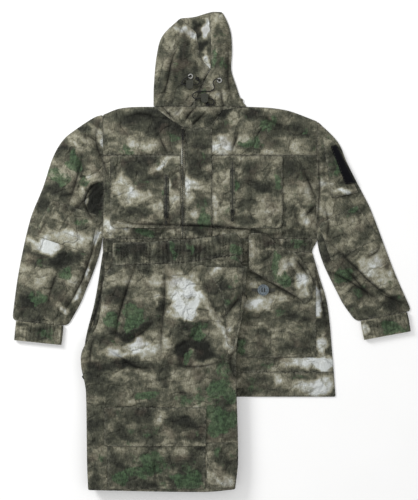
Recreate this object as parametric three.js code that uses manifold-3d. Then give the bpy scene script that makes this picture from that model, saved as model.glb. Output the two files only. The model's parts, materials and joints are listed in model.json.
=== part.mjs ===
// A two-piece camouflage suit laid out flat: a hooded jacket face up with its arms spread, and trousers
// folded lengthwise and at the knee that lie across the lower half of the jacket.
// Millimetres, +Z up. The back of the jacket lies on z = 0, and +Y runs from the hem to the hood.
// Left and right are the wearer's, so the left sleeve is on the +X side.
import * as THREE from 'three';
import { mergeVertices } from 'three/addons/utils/BufferGeometryUtils.js';
import Module from 'manifold-3d';

const wasm = await Module();
wasm.setup();

// ---- Cloth and gaps ----
const CLOTH = 2; // one layer of cloth with its lining and seams
const GATHERED = 4; // one layer of cloth gathered on elastic
const POCKET = 2.5; // the bag of a patch pocket, pressed flat
const HOLLOW = 6; // room between the two layers of a tube of cloth that lies flat
const CLEAR = 0.3; // gap between pieces that touch

// ---- Jacket ----
const JACKET_X = -5; // middle of the jacket's body
const SHOULDER_Y = 386;
const CHEST_WIDTH = 580; // armhole to armhole, laid flat
const JACKET_LENGTH = 780; // shoulder line to hem
const HEM_WIDTH = 678;
const NECK_LEFT = 95; // where the hood meets the left shoulder
const NECK_RIGHT = -158;
const SHOULDER_DROP = { left: 36, right: 18 }; // shoulder line to the top of the armhole
const WAIST_DROP = 389; // shoulder line to the lower edge of the waist casing
const CASING_HEIGHT = 36;
const YOKE_DROP = 128; // shoulder line to the yoke seam and the tops of the chest pockets
const FACING_HEIGHT = 67;
const PLACKET_WIDTH = 73;
const ZIP_WIDTH = 11;
const CHEST_POCKET_WIDTH = 190;
const CHEST_POCKET_HEIGHT = 196;
const POCKET_CORNER = 14;
const SKIRT_POCKET_WIDTH = 212;
const SKIRT_POCKET_HEIGHT = 256;

// ---- Sleeves ----
const ELBOW_WIDTH = { left: 190, right: 206 };
const FOREARM_LENGTH = { left: 190, right: 214 };
const FOREARM_END = 148; // width of the forearm where the cuff gathers it
const CUFF_WIDTH = 128;
const CUFF_LENGTH = 52;
const CUFF_THICKNESS = 11;
const CUFF_WALL = 2.2;

// ---- Hood ----
const HOOD_HEIGHT = 256; // neck seam to crown
const EYELET_OUTER = 15;
const EYELET_INNER = 8;
const CORD = 3; // diameter of the drawcords
const BORE = CORD + 1; // the way through a cord lock

// ---- Trousers, folded ----
const WAIST_WIDTH = 348; // half the relaxed waist
const WAISTBAND = 60;
const LEG_WIDTH = 405;
const FOLDED_LENGTH = 692; // waistband to the fold at the knee
const CROTCH_DROP = 290;
const CARGO_WIDTH = 262;
const CARGO_FLAP = 104;

// ---- Small hard parts ----
const BUTTON = 30;
const SLIDER = { width: 9, length: 13, height: 3, tabWidth: 6, tabLength: 24, tabThickness: 1.4 };
const LOCK = { width: 19, length: 24, height: 9, cavityWidth: 8, cavityHeight: 6, cavityDepth: 19 };
const PLUNGER_LENGTH = 18;
const PRESS = 3; // how far a cord lock's plunger goes in

// ---- Levels and lines worked out from the sizes above ----
const FRONT_Z = CLOTH + HOLLOW;
const ON_FRONT_Z = FRONT_Z + CLOTH + CLEAR;
const ON_POCKET_Z = ON_FRONT_Z + POCKET + CLEAR;
const TROUSERS_Z = ON_POCKET_Z + CLOTH + CLEAR;
const INNER_LEG_Z = TROUSERS_Z + CLOTH + HOLLOW;
const TOP_LEG_Z = INNER_LEG_Z + 2 * CLOTH + HOLLOW;
const ON_LEG_Z = TOP_LEG_Z + CLOTH + CLEAR;

const LEFT_X = JACKET_X + CHEST_WIDTH / 2;
const RIGHT_X = JACKET_X - CHEST_WIDTH / 2;
const HEM_Y = SHOULDER_Y - JACKET_LENGTH;
const WAIST_Y = SHOULDER_Y - WAIST_DROP;
const CASING_Y = WAIST_Y + CASING_HEIGHT;
const YOKE_Y = SHOULDER_Y - YOKE_DROP;
const ARMHOLE_Y = { left: SHOULDER_Y - SHOULDER_DROP.left, right: SHOULDER_Y - SHOULDER_DROP.right };
const NECK_Y = SHOULDER_Y + 4;
const FACING_Y = HEM_Y + FACING_HEIGHT;
const PLACKET_LEFT = 0;
const PLACKET_RIGHT = PLACKET_LEFT - PLACKET_WIDTH;
const ZIP_RIGHT = PLACKET_RIGHT - CLEAR - ZIP_WIDTH;
const THROAT_Y = SHOULDER_Y - 53;
const HEM_LEFT = JACKET_X + HEM_WIDTH / 2;
const HEM_RIGHT = HEM_LEFT - HEM_WIDTH;

// ---- Colours ----
const cloth = (color) => new THREE.MeshStandardMaterial({ color, roughness: 0.92, metalness: 0 });
const OLIVE = cloth(0x6b6a58);
const TAN = cloth(0x8f8b78);
const CHARCOAL = cloth(0x3d3d35);
const PALE = cloth(0xb4b6b0);
const GREEN = cloth(0x4f6b4a);
const BLACK = cloth(0x1e1e22);
const PLASTIC = new THREE.MeshStandardMaterial({ color: 0x3a3d30, roughness: 0.55, metalness: 0 });
const METAL = new THREE.MeshStandardMaterial({ color: 0xb9bbb8, roughness: 0.35, metalness: 0.9 });
const BUTTON_PLASTIC = new THREE.MeshStandardMaterial({ color: 0x3f464e, roughness: 0.45, metalness: 0 });

// ---- Building blocks ----
const mesh = (name, geometry, material) => {
  const made = new THREE.Mesh(geometry, material);
  made.name = name;
  return made;
};

const polygon = (points) => new THREE.Shape(points.map(([x, y]) => new THREE.Vector2(x, y)));

/** A flat panel of cloth with the outline given, its underside at z. */
const panel = (name, points, z, thickness, material) => {
  const geometry = new THREE.ExtrudeGeometry(polygon(points), { depth: thickness, bevelEnabled: false });
  return mesh(name, geometry.translate(0, 0, z), material);
};

const rectangle = (x0, y0, x1, y1) => [[x0, y0], [x1, y0], [x1, y1], [x0, y1]];

/** A rectangle whose two lower corners are rounded, centred on x = 0 with its top at y = 0. */
const roundedBelow = (width, height, radius) => {
  const shape = new THREE.Shape();
  shape.moveTo(-width / 2, 0);
  shape.lineTo(-width / 2, radius - height);
  shape.absarc(radius - width / 2, radius - height, radius, Math.PI, 1.5 * Math.PI, false);
  shape.absarc(width / 2 - radius, radius - height, radius, 1.5 * Math.PI, 2 * Math.PI, false);
  shape.lineTo(width / 2, 0);
  return shape.getPoints(4).map((p) => [p.x, p.y]);
};

const moved = (points, dx, dy) => points.map(([x, y]) => [x + dx, y + dy]);

const toSolid = (geometry) => {
  const bare = geometry.clone();
  bare.deleteAttribute('normal');
  bare.deleteAttribute('uv');
  const merged = mergeVertices(bare);
  const index = merged.index.array;
  return new wasm.Manifold(new wasm.Mesh({
    numProp: 3,
    vertProperties: new Float32Array(merged.attributes.position.array),
    triVerts: new Uint32Array(index),
  }));
};

const toGeometry = (solid) => {
  const { vertProperties, triVerts } = solid.getMesh();
  const geometry = new THREE.BufferGeometry();
  geometry.setAttribute('position', new THREE.BufferAttribute(new Float32Array(vertProperties), 3));
  geometry.setIndex(new THREE.BufferAttribute(new Uint32Array(triVerts), 1));
  return geometry;
};

const box = (width, length, height, x, y, z) =>
  new THREE.BoxGeometry(width, length, height).translate(x, y, z);

// ---- Jacket body ----
const SHOULDER_LEFT = [LEFT_X - 88, SHOULDER_Y - 5];
const SHOULDER_RIGHT = [RIGHT_X + 50, SHOULDER_Y];

// The skirt flares below the waist casing, a little at the hip and then down to the hem.
const skirtLeft = [
  [LEFT_X - 14, WAIST_Y],
  [LEFT_X + 4, WAIST_Y - 62],
  [HEM_LEFT - 22, WAIST_Y - 143],
  [HEM_LEFT - 8, FACING_Y + 40],
  [HEM_LEFT, HEM_Y],
];
const skirtRight = [
  [HEM_RIGHT + 9, HEM_Y],
  [HEM_RIGHT, HEM_Y + 36],
  [HEM_RIGHT, WAIST_Y - 250],
  [HEM_RIGHT + 28, WAIST_Y - 130],
  [RIGHT_X, WAIST_Y],
];

const sideAt = (side, y) => {
  const upper = side.findIndex(([, py], i) => i > 0 && (py - y) * (side[i - 1][1] - y) <= 0);
  const [[x0, y0], [x1, y1]] = [side[upper - 1], side[upper]];
  return x0 + ((x1 - x0) * (y - y0)) / (y1 - y0);
};

const jacketBack = () => panel('jacket_back', [
  [NECK_RIGHT, NECK_Y - CLEAR],
  SHOULDER_RIGHT,
  [RIGHT_X, ARMHOLE_Y.right],
  ...[...skirtRight].reverse(),
  ...[...skirtLeft].reverse(),
  [LEFT_X, CASING_Y],
  [LEFT_X, ARMHOLE_Y.left],
  SHOULDER_LEFT,
  [NECK_LEFT, NECK_Y - CLEAR],
], 0, CLOTH, CHARCOAL);

const SEAM_X = (PLACKET_LEFT + PLACKET_RIGHT) / 2; // where the two fronts meet, under the placket

const yokes = () => [
  panel('left_yoke', [
    [SEAM_X + CLEAR, YOKE_Y + CLEAR],
    [LEFT_X, YOKE_Y + CLEAR],
    [LEFT_X, ARMHOLE_Y.left],
    SHOULDER_LEFT,
    [NECK_LEFT, NECK_Y - CLEAR],
    [SEAM_X + CLEAR, NECK_Y - CLEAR],
  ], FRONT_Z, CLOTH, TAN),
  panel('right_yoke', [
    [SEAM_X, YOKE_Y + CLEAR],
    [SEAM_X, NECK_Y - CLEAR],
    [NECK_RIGHT, NECK_Y - CLEAR],
    SHOULDER_RIGHT,
    [RIGHT_X, ARMHOLE_Y.right],
    [RIGHT_X, YOKE_Y + CLEAR],
  ], FRONT_Z, CLOTH, OLIVE),
];

const fronts = () => [
  panel('left_front', rectangle(SEAM_X + CLEAR, CASING_Y + CLEAR, LEFT_X, YOKE_Y), FRONT_Z, CLOTH, OLIVE),
  panel('right_front', rectangle(RIGHT_X, CASING_Y + CLEAR, SEAM_X, YOKE_Y), FRONT_Z, CLOTH, CHARCOAL),
];

const waistCasing = () => panel('waist_casing',
  rectangle(RIGHT_X, WAIST_Y + CLEAR, LEFT_X - 14, CASING_Y), FRONT_Z, GATHERED, CHARCOAL);

const skirts = () => [
  panel('left_skirt', [
    [SEAM_X + CLEAR, FACING_Y + CLEAR],
    [sideAt(skirtLeft, FACING_Y + CLEAR), FACING_Y + CLEAR],
    ...skirtLeft.slice(0, 4).reverse(),
    [SEAM_X + CLEAR, WAIST_Y],
  ], FRONT_Z, CLOTH, TAN),
  panel('right_skirt', [
    [SEAM_X, FACING_Y + CLEAR],
    [SEAM_X, WAIST_Y],
    ...skirtRight.slice(2).reverse(),
    [sideAt(skirtRight, FACING_Y + CLEAR), FACING_Y + CLEAR],
  ], FRONT_Z, CLOTH, OLIVE),
  panel('hem_facing', [
    skirtRight[0],
    [HEM_LEFT, HEM_Y],
    [sideAt(skirtLeft, FACING_Y), FACING_Y],
    [sideAt(skirtRight, FACING_Y), FACING_Y],
    skirtRight[1],
  ], FRONT_Z, CLOTH, OLIVE),
];

const collar = () => panel('collar', [
  [NECK_RIGHT, NECK_Y - CLEAR],
  [NECK_RIGHT + 12, NECK_Y - 10],
  [PLACKET_RIGHT, THROAT_Y + CLEAR],
  [PLACKET_LEFT, THROAT_Y + CLEAR],
  [PLACKET_LEFT + 27, NECK_Y - 10],
  [NECK_LEFT, NECK_Y - CLEAR],
], ON_FRONT_Z, CLOTH, OLIVE);

const closure = () => [
  panel('placket', rectangle(PLACKET_RIGHT, CASING_Y + CLEAR, PLACKET_LEFT, THROAT_Y),
    ON_FRONT_Z, CLOTH, CHARCOAL),
  panel('front_zip', rectangle(ZIP_RIGHT, CASING_Y + CLEAR, ZIP_RIGHT + ZIP_WIDTH, THROAT_Y),
    ON_FRONT_Z, CLOTH, BLACK),
];

// ---- Chest pockets, each with an upright zip ----
const CHEST_ZIP = { width: 14, thickness: 1.2 };
const pocketTop = YOKE_Y - CLEAR;
const chestPockets = [
  {
    side: 'left',
    x: PLACKET_LEFT + CLEAR + CHEST_POCKET_WIDTH / 2,
    zip: { x: PLACKET_LEFT + 55, top: pocketTop - 15, length: 146 },
    color: OLIVE,
  },
  {
    side: 'right',
    x: ZIP_RIGHT - CLEAR - CHEST_POCKET_WIDTH / 2,
    zip: { x: ZIP_RIGHT - 39, top: pocketTop - 53, length: 116 },
    color: TAN,
  },
];

const chestPocket = ({ side, x, zip, color }) => [
  panel(`${side}_chest_pocket`,
    moved(roundedBelow(CHEST_POCKET_WIDTH, CHEST_POCKET_HEIGHT, POCKET_CORNER), x, pocketTop),
    ON_FRONT_Z, POCKET, color),
  panel(`${side}_chest_zip`,
    moved(rectangle(-CHEST_ZIP.width / 2, -zip.length, CHEST_ZIP.width / 2, 0), zip.x, zip.top),
    ON_POCKET_Z, CHEST_ZIP.thickness, BLACK),
];

/** A zip slider with its pull tab lying down, as one piece; it is centred on its own origin. */
const slider = (name) => {
  const { width, length, height, tabWidth, tabLength, tabThickness } = SLIDER;
  const body = toSolid(box(width, length, height, 0, 0, height / 2));
  const tabMiddle = -length / 2 - tabLength / 2 + 4;
  const tab = toSolid(box(tabWidth, tabLength, tabThickness, 0, tabMiddle, height / 2));
  return mesh(name, toGeometry(body.add(tab)), METAL);
};

const placed = (piece, x, y, z) => {
  piece.position.set(x, y, z);
  return piece;
};

// The front zip is closed up to the throat; each chest zip is closed down to its lower end.
const SLIDER_FROM_END = 9;
const sliders = () => [
  placed(slider('front_zip_slider'),
    ZIP_RIGHT + ZIP_WIDTH / 2, THROAT_Y - SLIDER_FROM_END, ON_FRONT_Z + CLOTH + CLEAR),
  ...chestPockets.map(({ side, zip }) => placed(
    slider(`${side}_chest_slider`),
    zip.x, zip.top - zip.length + SLIDER_FROM_END, ON_POCKET_Z + CHEST_ZIP.thickness + CLEAR,
  )),
];

// ---- Skirt pockets, the flap over the left one and its slotted button ----
const skirtPocket = (side, x) => panel(`${side}_skirt_pocket`,
  moved(rectangle(-SKIRT_POCKET_WIDTH / 2, -SKIRT_POCKET_HEIGHT, SKIRT_POCKET_WIDTH / 2, 0), x, WAIST_Y - 28),
  ON_FRONT_Z, POCKET, TAN);

const LEFT_POCKET_X = LEFT_X - 111;
const RIGHT_POCKET_X = RIGHT_X + 111;
const FLAP_HINGE_Y = CASING_Y + 15;
const FLAP_INNER_X = LEFT_X - 186;
const FLAP_TIP = [LEFT_X - 37, WAIST_Y - 140];

const leftSkirtFlap = () => panel('left_skirt_flap', [
  [FLAP_INNER_X, FLAP_HINGE_Y],
  [FLAP_INNER_X, WAIST_Y - 46],
  [FLAP_TIP[0] - 20, FLAP_TIP[1] + 20],
  FLAP_TIP,
  [LEFT_X - 16, WAIST_Y - 124],
  [LEFT_X - 16, WAIST_Y - 70],
  [LEFT_X - 54, WAIST_Y - 8],
  [LEFT_X - 98, WAIST_Y + 14],
  [LEFT_X - 140, FLAP_HINGE_Y],
], ON_POCKET_Z, CLOTH, GREEN);

const BUTTON_AT = [LEFT_X - 147, WAIST_Y - 102];
const TAPE = { width: 9, length: 62, thickness: 1 };

const buttonTape = () => {
  const outline = rectangle(-TAPE.length / 2, -TAPE.width / 2, TAPE.length / 2, TAPE.width / 2);
  return panel('button_tape', moved(outline, ...BUTTON_AT), ON_POCKET_Z, TAPE.thickness, CHARCOAL);
};

/** A slotted button: a disc with a raised rim and two slots for its tape. */
const slottedButton = () => {
  const rim = 2.5;
  const web = 1.6;
  const half = BUTTON / 2;
  const profile = [[0, 0], [half, 0], [half, 3.4], [half - rim, 3.4], [half - rim, web], [0, web]]
    .map(([x, y]) => new THREE.Vector2(x, y));
  const disc = new THREE.LatheGeometry(profile, 32).rotateX(Math.PI / 2);
  const slots = [-1, 1].map((sign) => toSolid(box(3, 11, 6, sign * 3.4, 0, 1)));
  const cut = slots.reduce((body, slot) => body.subtract(slot), toSolid(disc));
  return mesh('skirt_button', toGeometry(cut), BUTTON_PLASTIC);
};

// ---- Sleeves ----
// Each forearm folds at a line across the elbow. Its own frame has y down the arm and x away from the body.
const ARMS = {
  left: { sign: 1, elbow: [LEFT_X + 96, -6], tilt: THREE.MathUtils.degToRad(26), cuffTilt: 0.27, bow: -6 },
  right: { sign: -1, elbow: [RIGHT_X - 102, 8], tilt: THREE.MathUtils.degToRad(18.5), cuffTilt: 0.22, bow: 9 },
};

/** A point of the arm's frame, across and down from the elbow, in the suit's frame. */
const onArm = ({ sign, elbow, tilt }, across, down) => [
  elbow[0] + sign * (across * Math.cos(tilt) + down * Math.sin(tilt)),
  elbow[1] + across * Math.sin(tilt) - down * Math.cos(tilt),
];

// The outer line of each upper sleeve, from the top of the armhole to the elbow, out from the body's side.
const OUTER_SLEEVE = {
  left: [[55, 294], [80, 238], [120, 159], [144, 111]],
  right: [[21, 362], [72, 329], [107, 300], [134, 254], [161, 173], [196, 84]],
};

const upperSleeveOutline = (side) => {
  const arm = ARMS[side];
  const half = ELBOW_WIDTH[side] / 2;
  const bodyEdge = (side === 'left' ? LEFT_X : RIGHT_X) + arm.sign * CLEAR;
  return [
    [bodyEdge, ARMHOLE_Y[side]],
    ...OUTER_SLEEVE[side].map(([out, y]) => [bodyEdge + arm.sign * out, y]),
    onArm(arm, half, -CLEAR),
    onArm(arm, -half, -CLEAR),
    [bodyEdge, ARMS[side].elbow[1] + 30],
  ];
};

const upperSleeves = (side, material) => [
  panel(`${side}_upper_sleeve`, upperSleeveOutline(side), FRONT_Z, CLOTH, material),
  panel(`${side}_upper_sleeve_back`, upperSleeveOutline(side), 0, CLOTH, CHARCOAL),
];

const PATCH_FROM_ELBOW = 6;
const ELBOW_PATCH_HEIGHT = 112;

const elbowPatch = (side) => {
  const arm = ARMS[side];
  const half = ELBOW_WIDTH[side] / 2 - 12;
  return panel(`${side}_elbow_patch`, [
    onArm(arm, half, -PATCH_FROM_ELBOW),
    onArm(arm, -half + 20, -PATCH_FROM_ELBOW),
    onArm(arm, -half + 34, -ELBOW_PATCH_HEIGHT),
    onArm(arm, half - 16, -ELBOW_PATCH_HEIGHT),
  ], ON_FRONT_Z, CLOTH, OLIVE);
};

// The left sleeve has a pocket above the elbow patch, with a hook-and-loop patch on its outer edge.
// Both are given out from the body's side.
const SLEEVE_POCKET = [[13, 310], [38, 142], [110, 158], [48, 290]];
const HOOK_AND_LOOP = [[34, 284], [75, 179], [104, 184], [52, 286]];

const sleevePocket = () => {
  const outFromBody = ([out, y]) => [LEFT_X + out, y];
  return [
    panel('sleeve_pocket', SLEEVE_POCKET.map(outFromBody), ON_FRONT_Z, POCKET, OLIVE),
    panel('hook_and_loop_patch', HOOK_AND_LOOP.map(outFromBody), ON_POCKET_Z, CLOTH, BLACK),
  ];
};

const forearmOutline = (side) => {
  const arm = ARMS[side];
  const half = ELBOW_WIDTH[side] / 2;
  const halfCuff = FOREARM_END / 2;
  const end = FOREARM_LENGTH[side] - CLEAR;
  const slant = halfCuff * Math.tan(arm.cuffTilt);
  return [
    onArm(arm, half, CLEAR),
    onArm(arm, (half + halfCuff) / 2 + arm.bow, end / 2),
    onArm(arm, halfCuff, end + slant),
    onArm(arm, -halfCuff, end - slant),
    onArm(arm, -(half + halfCuff) / 2, end / 2),
    onArm(arm, -half, CLEAR),
  ];
};

/** A cuff is a flat ring: a rounded band with a slot through it for the hand. */
const cuff = (side) => {
  const arm = ARMS[side];
  const flat = (half, height, z) => {
    const radius = height / 2;
    const outline = new THREE.Shape();
    outline.absarc(half - radius, z, radius, -Math.PI / 2, Math.PI / 2, false);
    outline.absarc(radius - half, z, radius, Math.PI / 2, 1.5 * Math.PI, false);
    return outline;
  };
  const section = flat(CUFF_WIDTH / 2, CUFF_THICKNESS, CUFF_THICKNESS / 2);
  section.holes.push(flat(CUFF_WIDTH / 2 - CUFF_WALL, CUFF_THICKNESS - 2 * CUFF_WALL, CUFF_THICKNESS / 2));
  const band = new THREE.ExtrudeGeometry(section, { depth: CUFF_LENGTH, bevelEnabled: false, curveSegments: 4 })
    .rotateX(Math.PI / 2);
  const made = mesh(`${side}_cuff`, band, OLIVE);
  const [x, y] = onArm(arm, 0, FOREARM_LENGTH[side] + CLEAR);
  made.rotation.z = arm.sign * (arm.tilt - arm.cuffTilt);
  return placed(made, x, y, 0);
};

const forearm = (side, material) => [
  panel(`${side}_forearm`, forearmOutline(side), FRONT_Z, CLOTH, material),
  panel(`${side}_forearm_back`, forearmOutline(side), 0, CLOTH, CHARCOAL),
  cuff(side),
];

// ---- Hood ----
const hoodTop = NECK_Y + HOOD_HEIGHT;
const hoodLeftEdge = [
  [NECK_LEFT - 1, NECK_Y + CLEAR],
  [NECK_LEFT - 17, NECK_Y + 21],
  [NECK_LEFT - 30, NECK_Y + 58],
  [NECK_LEFT - 43, NECK_Y + 100],
  [NECK_LEFT - 41, NECK_Y + 148],
  [NECK_LEFT - 44, hoodTop - 57],
  [NECK_LEFT - 56, hoodTop - 21],
  [NECK_LEFT - 68, hoodTop],
  [NECK_LEFT - 96, hoodTop],
];
const hoodRightEdge = [
  [NECK_RIGHT + 72, hoodTop - 17],
  [NECK_RIGHT + 24, hoodTop - 65],
  [NECK_RIGHT + 9, hoodTop - 116],
  [NECK_RIGHT + 1, NECK_Y + 58],
  [NECK_RIGHT, NECK_Y + CLEAR],
];
// The two side panels meet at the chin and part above it, where the face opening starts.
const CHIN = [-5, NECK_Y + 104];
const slit = [[-57, NECK_Y + CLEAR], [-38, NECK_Y + 31], [-27, NECK_Y + 58], CHIN];
const FACE_WIDTH = 24;

const hood = () => [
  panel('hood_back', [...hoodLeftEdge, [NECK_RIGHT + 112, hoodTop - 13], ...hoodRightEdge], 0, CLOTH, CHARCOAL),
  panel('hood_left_panel', [
    ...hoodLeftEdge,
    [CHIN[0] - 4, hoodTop - 8],
    [CHIN[0] + 2, hoodTop - 87],
    ...[...slit].reverse().map(([x, y]) => [x + CLEAR, y]),
  ], FRONT_Z, CLOTH, TAN),
  panel('hood_right_panel', [
    ...hoodRightEdge,
    ...slit.map(([x, y]) => [x - CLEAR, y]),
    [CHIN[0] - FACE_WIDTH, NECK_Y + 130],
    [CHIN[0] - FACE_WIDTH - 8, hoodTop - 89],
    [CHIN[0] - FACE_WIDTH - 14, hoodTop - 54],
  ], FRONT_Z, CLOTH, OLIVE),
];

// ---- Hood cords: an eyelet, a cord out of it, and a lock on the cord ----
const CORD_Z = ON_FRONT_Z + LOCK.height / 2; // height of a cord where its lock holds it
const hoodCords = {
  right: {
    eyelet: [-58, 471],
    lock: [-60, 448],
    route: [
      [-58, 471, ON_FRONT_Z + 3.6], [-68, 468, ON_FRONT_Z + 3.6], [-77, 461, ON_FRONT_Z + 3.6],
      [-81, 453, ON_FRONT_Z + 4.0], [-77, 448.5, CORD_Z], [-71, 448, CORD_Z], [-60, 448, CORD_Z],
      [-49, 448, CORD_Z], [-42, 448, CORD_Z], [-35, 451, ON_FRONT_Z + 3.4],
      [-34, 459, ON_FRONT_Z + 2.2], [-40, 465, ON_FRONT_Z + 1.8],
    ],
  },
  left: {
    eyelet: [20, 460],
    lock: [-20, 411],
    route: [
      [20, 460, ON_FRONT_Z + 3.6], [10, 463, ON_FRONT_Z + 3.6], [3, 453, ON_FRONT_Z + 2.4],
      [7, 440, ON_FRONT_Z + 1.8], [-4, 431, ON_FRONT_Z + 1.8], [-22, 431, ON_FRONT_Z + 1.8],
      [-40, 429, ON_FRONT_Z + 2.2], [-51, 422, ON_FRONT_Z + 3.2], [-50, 413, CORD_Z - 0.4],
      [-42, 411, CORD_Z], [-31, 411, CORD_Z], [-20, 411, CORD_Z], [-9, 411, CORD_Z],
      [-4, 411, CORD_Z], [4, 407, ON_FRONT_Z + 3.2], [6, 400, ON_FRONT_Z + 2.2],
      [0, 394, ON_FRONT_Z + 1.8], [-12, 395, ON_FRONT_Z + 1.8],
    ],
  },
};

const cordTube = (name, points) => {
  const path = new THREE.CatmullRomCurve3(points.map((p) => new THREE.Vector3(...p)), false, 'centripetal');
  const ring = new THREE.Shape(Array.from({ length: 8 }, (_, i) => {
    const angle = (i * Math.PI) / 4;
    return new THREE.Vector2((Math.cos(angle) * CORD) / 2, (Math.sin(angle) * CORD) / 2);
  }));
  const steps = Math.ceil(path.getLength() / (2 * CORD));
  return mesh(name, new THREE.ExtrudeGeometry(ring, { steps, extrudePath: path }), BLACK);
};

const eyelet = (name, [x, y]) => {
  const [inner, outer, height] = [EYELET_INNER / 2, EYELET_OUTER / 2, 1.6];
  const profile = [[inner, 0], [outer, 0], [outer - 0.8, height], [inner, height], [inner, 0]]
    .map(([r, h]) => new THREE.Vector2(r, h));
  return placed(mesh(name, new THREE.LatheGeometry(profile, 20).rotateX(Math.PI / 2), METAL), x, y, ON_FRONT_Z);
};

/** The body of a cord lock: a rounded block, bored across for the cord and hollow for the plunger. */
const cordLock = (name, [x, y]) => {
  const { width, length, height, cavityWidth, cavityHeight, cavityDepth } = LOCK;
  const shape = new THREE.Shape();
  const radius = width * 0.42;
  shape.moveTo(-width / 2, length / 2);
  shape.lineTo(-width / 2, radius - length / 2);
  shape.absarc(radius - width / 2, radius - length / 2, radius, Math.PI, 1.5 * Math.PI, false);
  shape.absarc(width / 2 - radius, radius - length / 2, radius, 1.5 * Math.PI, 2 * Math.PI, false);
  shape.lineTo(width / 2, length / 2);
  const block = new THREE.ExtrudeGeometry(shape, { depth: height, bevelEnabled: false, curveSegments: 5 });
  const cavity = box(cavityWidth, cavityDepth, cavityHeight, 0, (length - cavityDepth) / 2 + 1e-2, height / 2);
  const body = toSolid(block)
    .subtract(toSolid(cavity))
    .subtract(toSolid(box(width + 2, BORE, BORE, 0, 0, height / 2)));
  return placed(mesh(name, toGeometry(body), PLASTIC), x, y, ON_FRONT_Z);
};

/** The plunger has a window that the cord passes through, longer than the cord by its press. */
const lockPlunger = (name, [x, y]) => {
  const { cavityWidth, cavityHeight, height } = LOCK;
  const below = BORE / 2 + 1.6;
  const stem = toSolid(box(
    cavityWidth - 2 * CLEAR, PLUNGER_LENGTH, cavityHeight - 2 * CLEAR, 0, PLUNGER_LENGTH / 2 - below, height / 2,
  ));
  const window = toSolid(box(cavityWidth + 2, BORE + PRESS, BORE, 0, PRESS / 2, height / 2));
  return placed(mesh(name, toGeometry(stem.subtract(window)), PLASTIC), x, y, ON_FRONT_Z);
};

const hoodCord = (side) => {
  const { eyelet: at, lock, route } = hoodCords[side];
  return [
    eyelet(`${side}_eyelet`, at),
    cordLock(`${side}_cord_lock`, lock),
    lockPlunger(`${side}_lock_plunger`, lock),
    cordTube(`${side}_drawcord`, route),
  ];
};

// ---- Hem drawcord: its end comes out at the right side seam and lies on the skirt ----
const HEM_CORD_Z = ON_FRONT_Z + CORD / 2;
const hemCordRoute = [
  [-340, -296], [-345, -303], [-346, -311], [-341, -318], [-338, -326], [-342, -333], [-345, -340],
];

const hemCord = () => cordTube('hem_cord', hemCordRoute.map(([x, y]) => [x, y, HEM_CORD_Z]));

// ---- Trousers ----
const WAIST_RIGHT = -267; // the back of the waistband, at the fold
const WAIST_TOP = 22;
const KNEE_Y = WAIST_TOP + 20 - FOLDED_LENGTH;
const LEG_LEFT = 70;
const LEG_RIGHT = LEG_LEFT - LEG_WIDTH;
const waistLeft = WAIST_RIGHT + WAIST_WIDTH;
const waistTopEdge = [
  [WAIST_RIGHT, WAIST_TOP],
  [WAIST_RIGHT + 0.55 * WAIST_WIDTH, WAIST_TOP + 8],
  [waistLeft - 16, WAIST_TOP + 28],
  [waistLeft, WAIST_TOP - 2],
];
const bandLower = waistTopEdge.map(([x, y]) => [x, y - WAISTBAND]);

const waistband = (name, z) =>
  panel(name, [...waistTopEdge, ...[...bandLower].reverse()], z, GATHERED, CHARCOAL);

const kneeEdge = [[LEG_LEFT - 8, KNEE_Y + 11], [LEG_LEFT - 90, KNEE_Y + 4], [LEG_RIGHT + 3, KNEE_Y + 9]];
const frontEdge = [
  [waistLeft + 14, WAIST_TOP - 2 - WAISTBAND],
  [waistLeft + 3, WAIST_TOP - 181],
  [LEG_LEFT - 5, WAIST_TOP - CROTCH_DROP],
  [LEG_LEFT, KNEE_Y + 90],
];
const backEdge = [
  [LEG_RIGHT, KNEE_Y + 80],
  [LEG_RIGHT - 3, WAIST_TOP - 400],
  [LEG_RIGHT - 16, WAIST_TOP - 300],
  [WAIST_RIGHT - 40, WAIST_TOP - 215],
  [WAIST_RIGHT - 22, WAIST_TOP - 90],
];
const underBand = bandLower.map(([x, y]) => [x, y - CLEAR]);

const legPanel = (name, z, material) => panel(name, [
  ...underBand, ...frontEdge, ...kneeEdge, ...backEdge,
], z, CLOTH, material);

const crotchY = WAIST_TOP - CROTCH_DROP;

const legs = () => [
  waistband('right_waistband', TROUSERS_Z),
  legPanel('right_leg', TROUSERS_Z, OLIVE),
  panel('inner_leg_panels', [
    [LEG_LEFT - 8, crotchY],
    ...frontEdge.slice(3),
    ...kneeEdge,
    backEdge[0],
    backEdge[1],
    [LEG_RIGHT - 10, crotchY],
  ], INNER_LEG_Z, 2 * CLOTH, CHARCOAL),
  legPanel('left_leg', TOP_LEG_Z, TAN),
  waistband('left_waistband', TOP_LEG_Z),
];

// Below the knee the legs are folded under twice and lie beside the jacket's hem.
const lowerLegs = () => panel('lower_legs', [
  [LEG_LEFT - 4, HEM_Y - 2 * CLEAR],
  [LEG_RIGHT, HEM_Y - 2 * CLEAR],
  [LEG_RIGHT + 4, KNEE_Y + 12],
  [LEG_LEFT - 90, KNEE_Y + 6],
  [LEG_LEFT - 12, KNEE_Y + 14],
], 0, TROUSERS_Z - CLEAR, CHARCOAL);

const CARGO_LEFT = LEG_LEFT - 88;
const CARGO_TOP = KNEE_Y + 232;

const cargo = () => [
  panel('cargo_pocket',
    rectangle(CARGO_LEFT - CARGO_WIDTH, KNEE_Y + 12, CARGO_LEFT, CARGO_TOP - 20), ON_LEG_Z, POCKET, OLIVE),
  panel('cargo_flap',
    rectangle(CARGO_LEFT - CARGO_WIDTH - 8, CARGO_TOP - CARGO_FLAP, CARGO_LEFT + 2, CARGO_TOP),
    ON_LEG_Z + POCKET + CLEAR, CLOTH, TAN),
];

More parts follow.
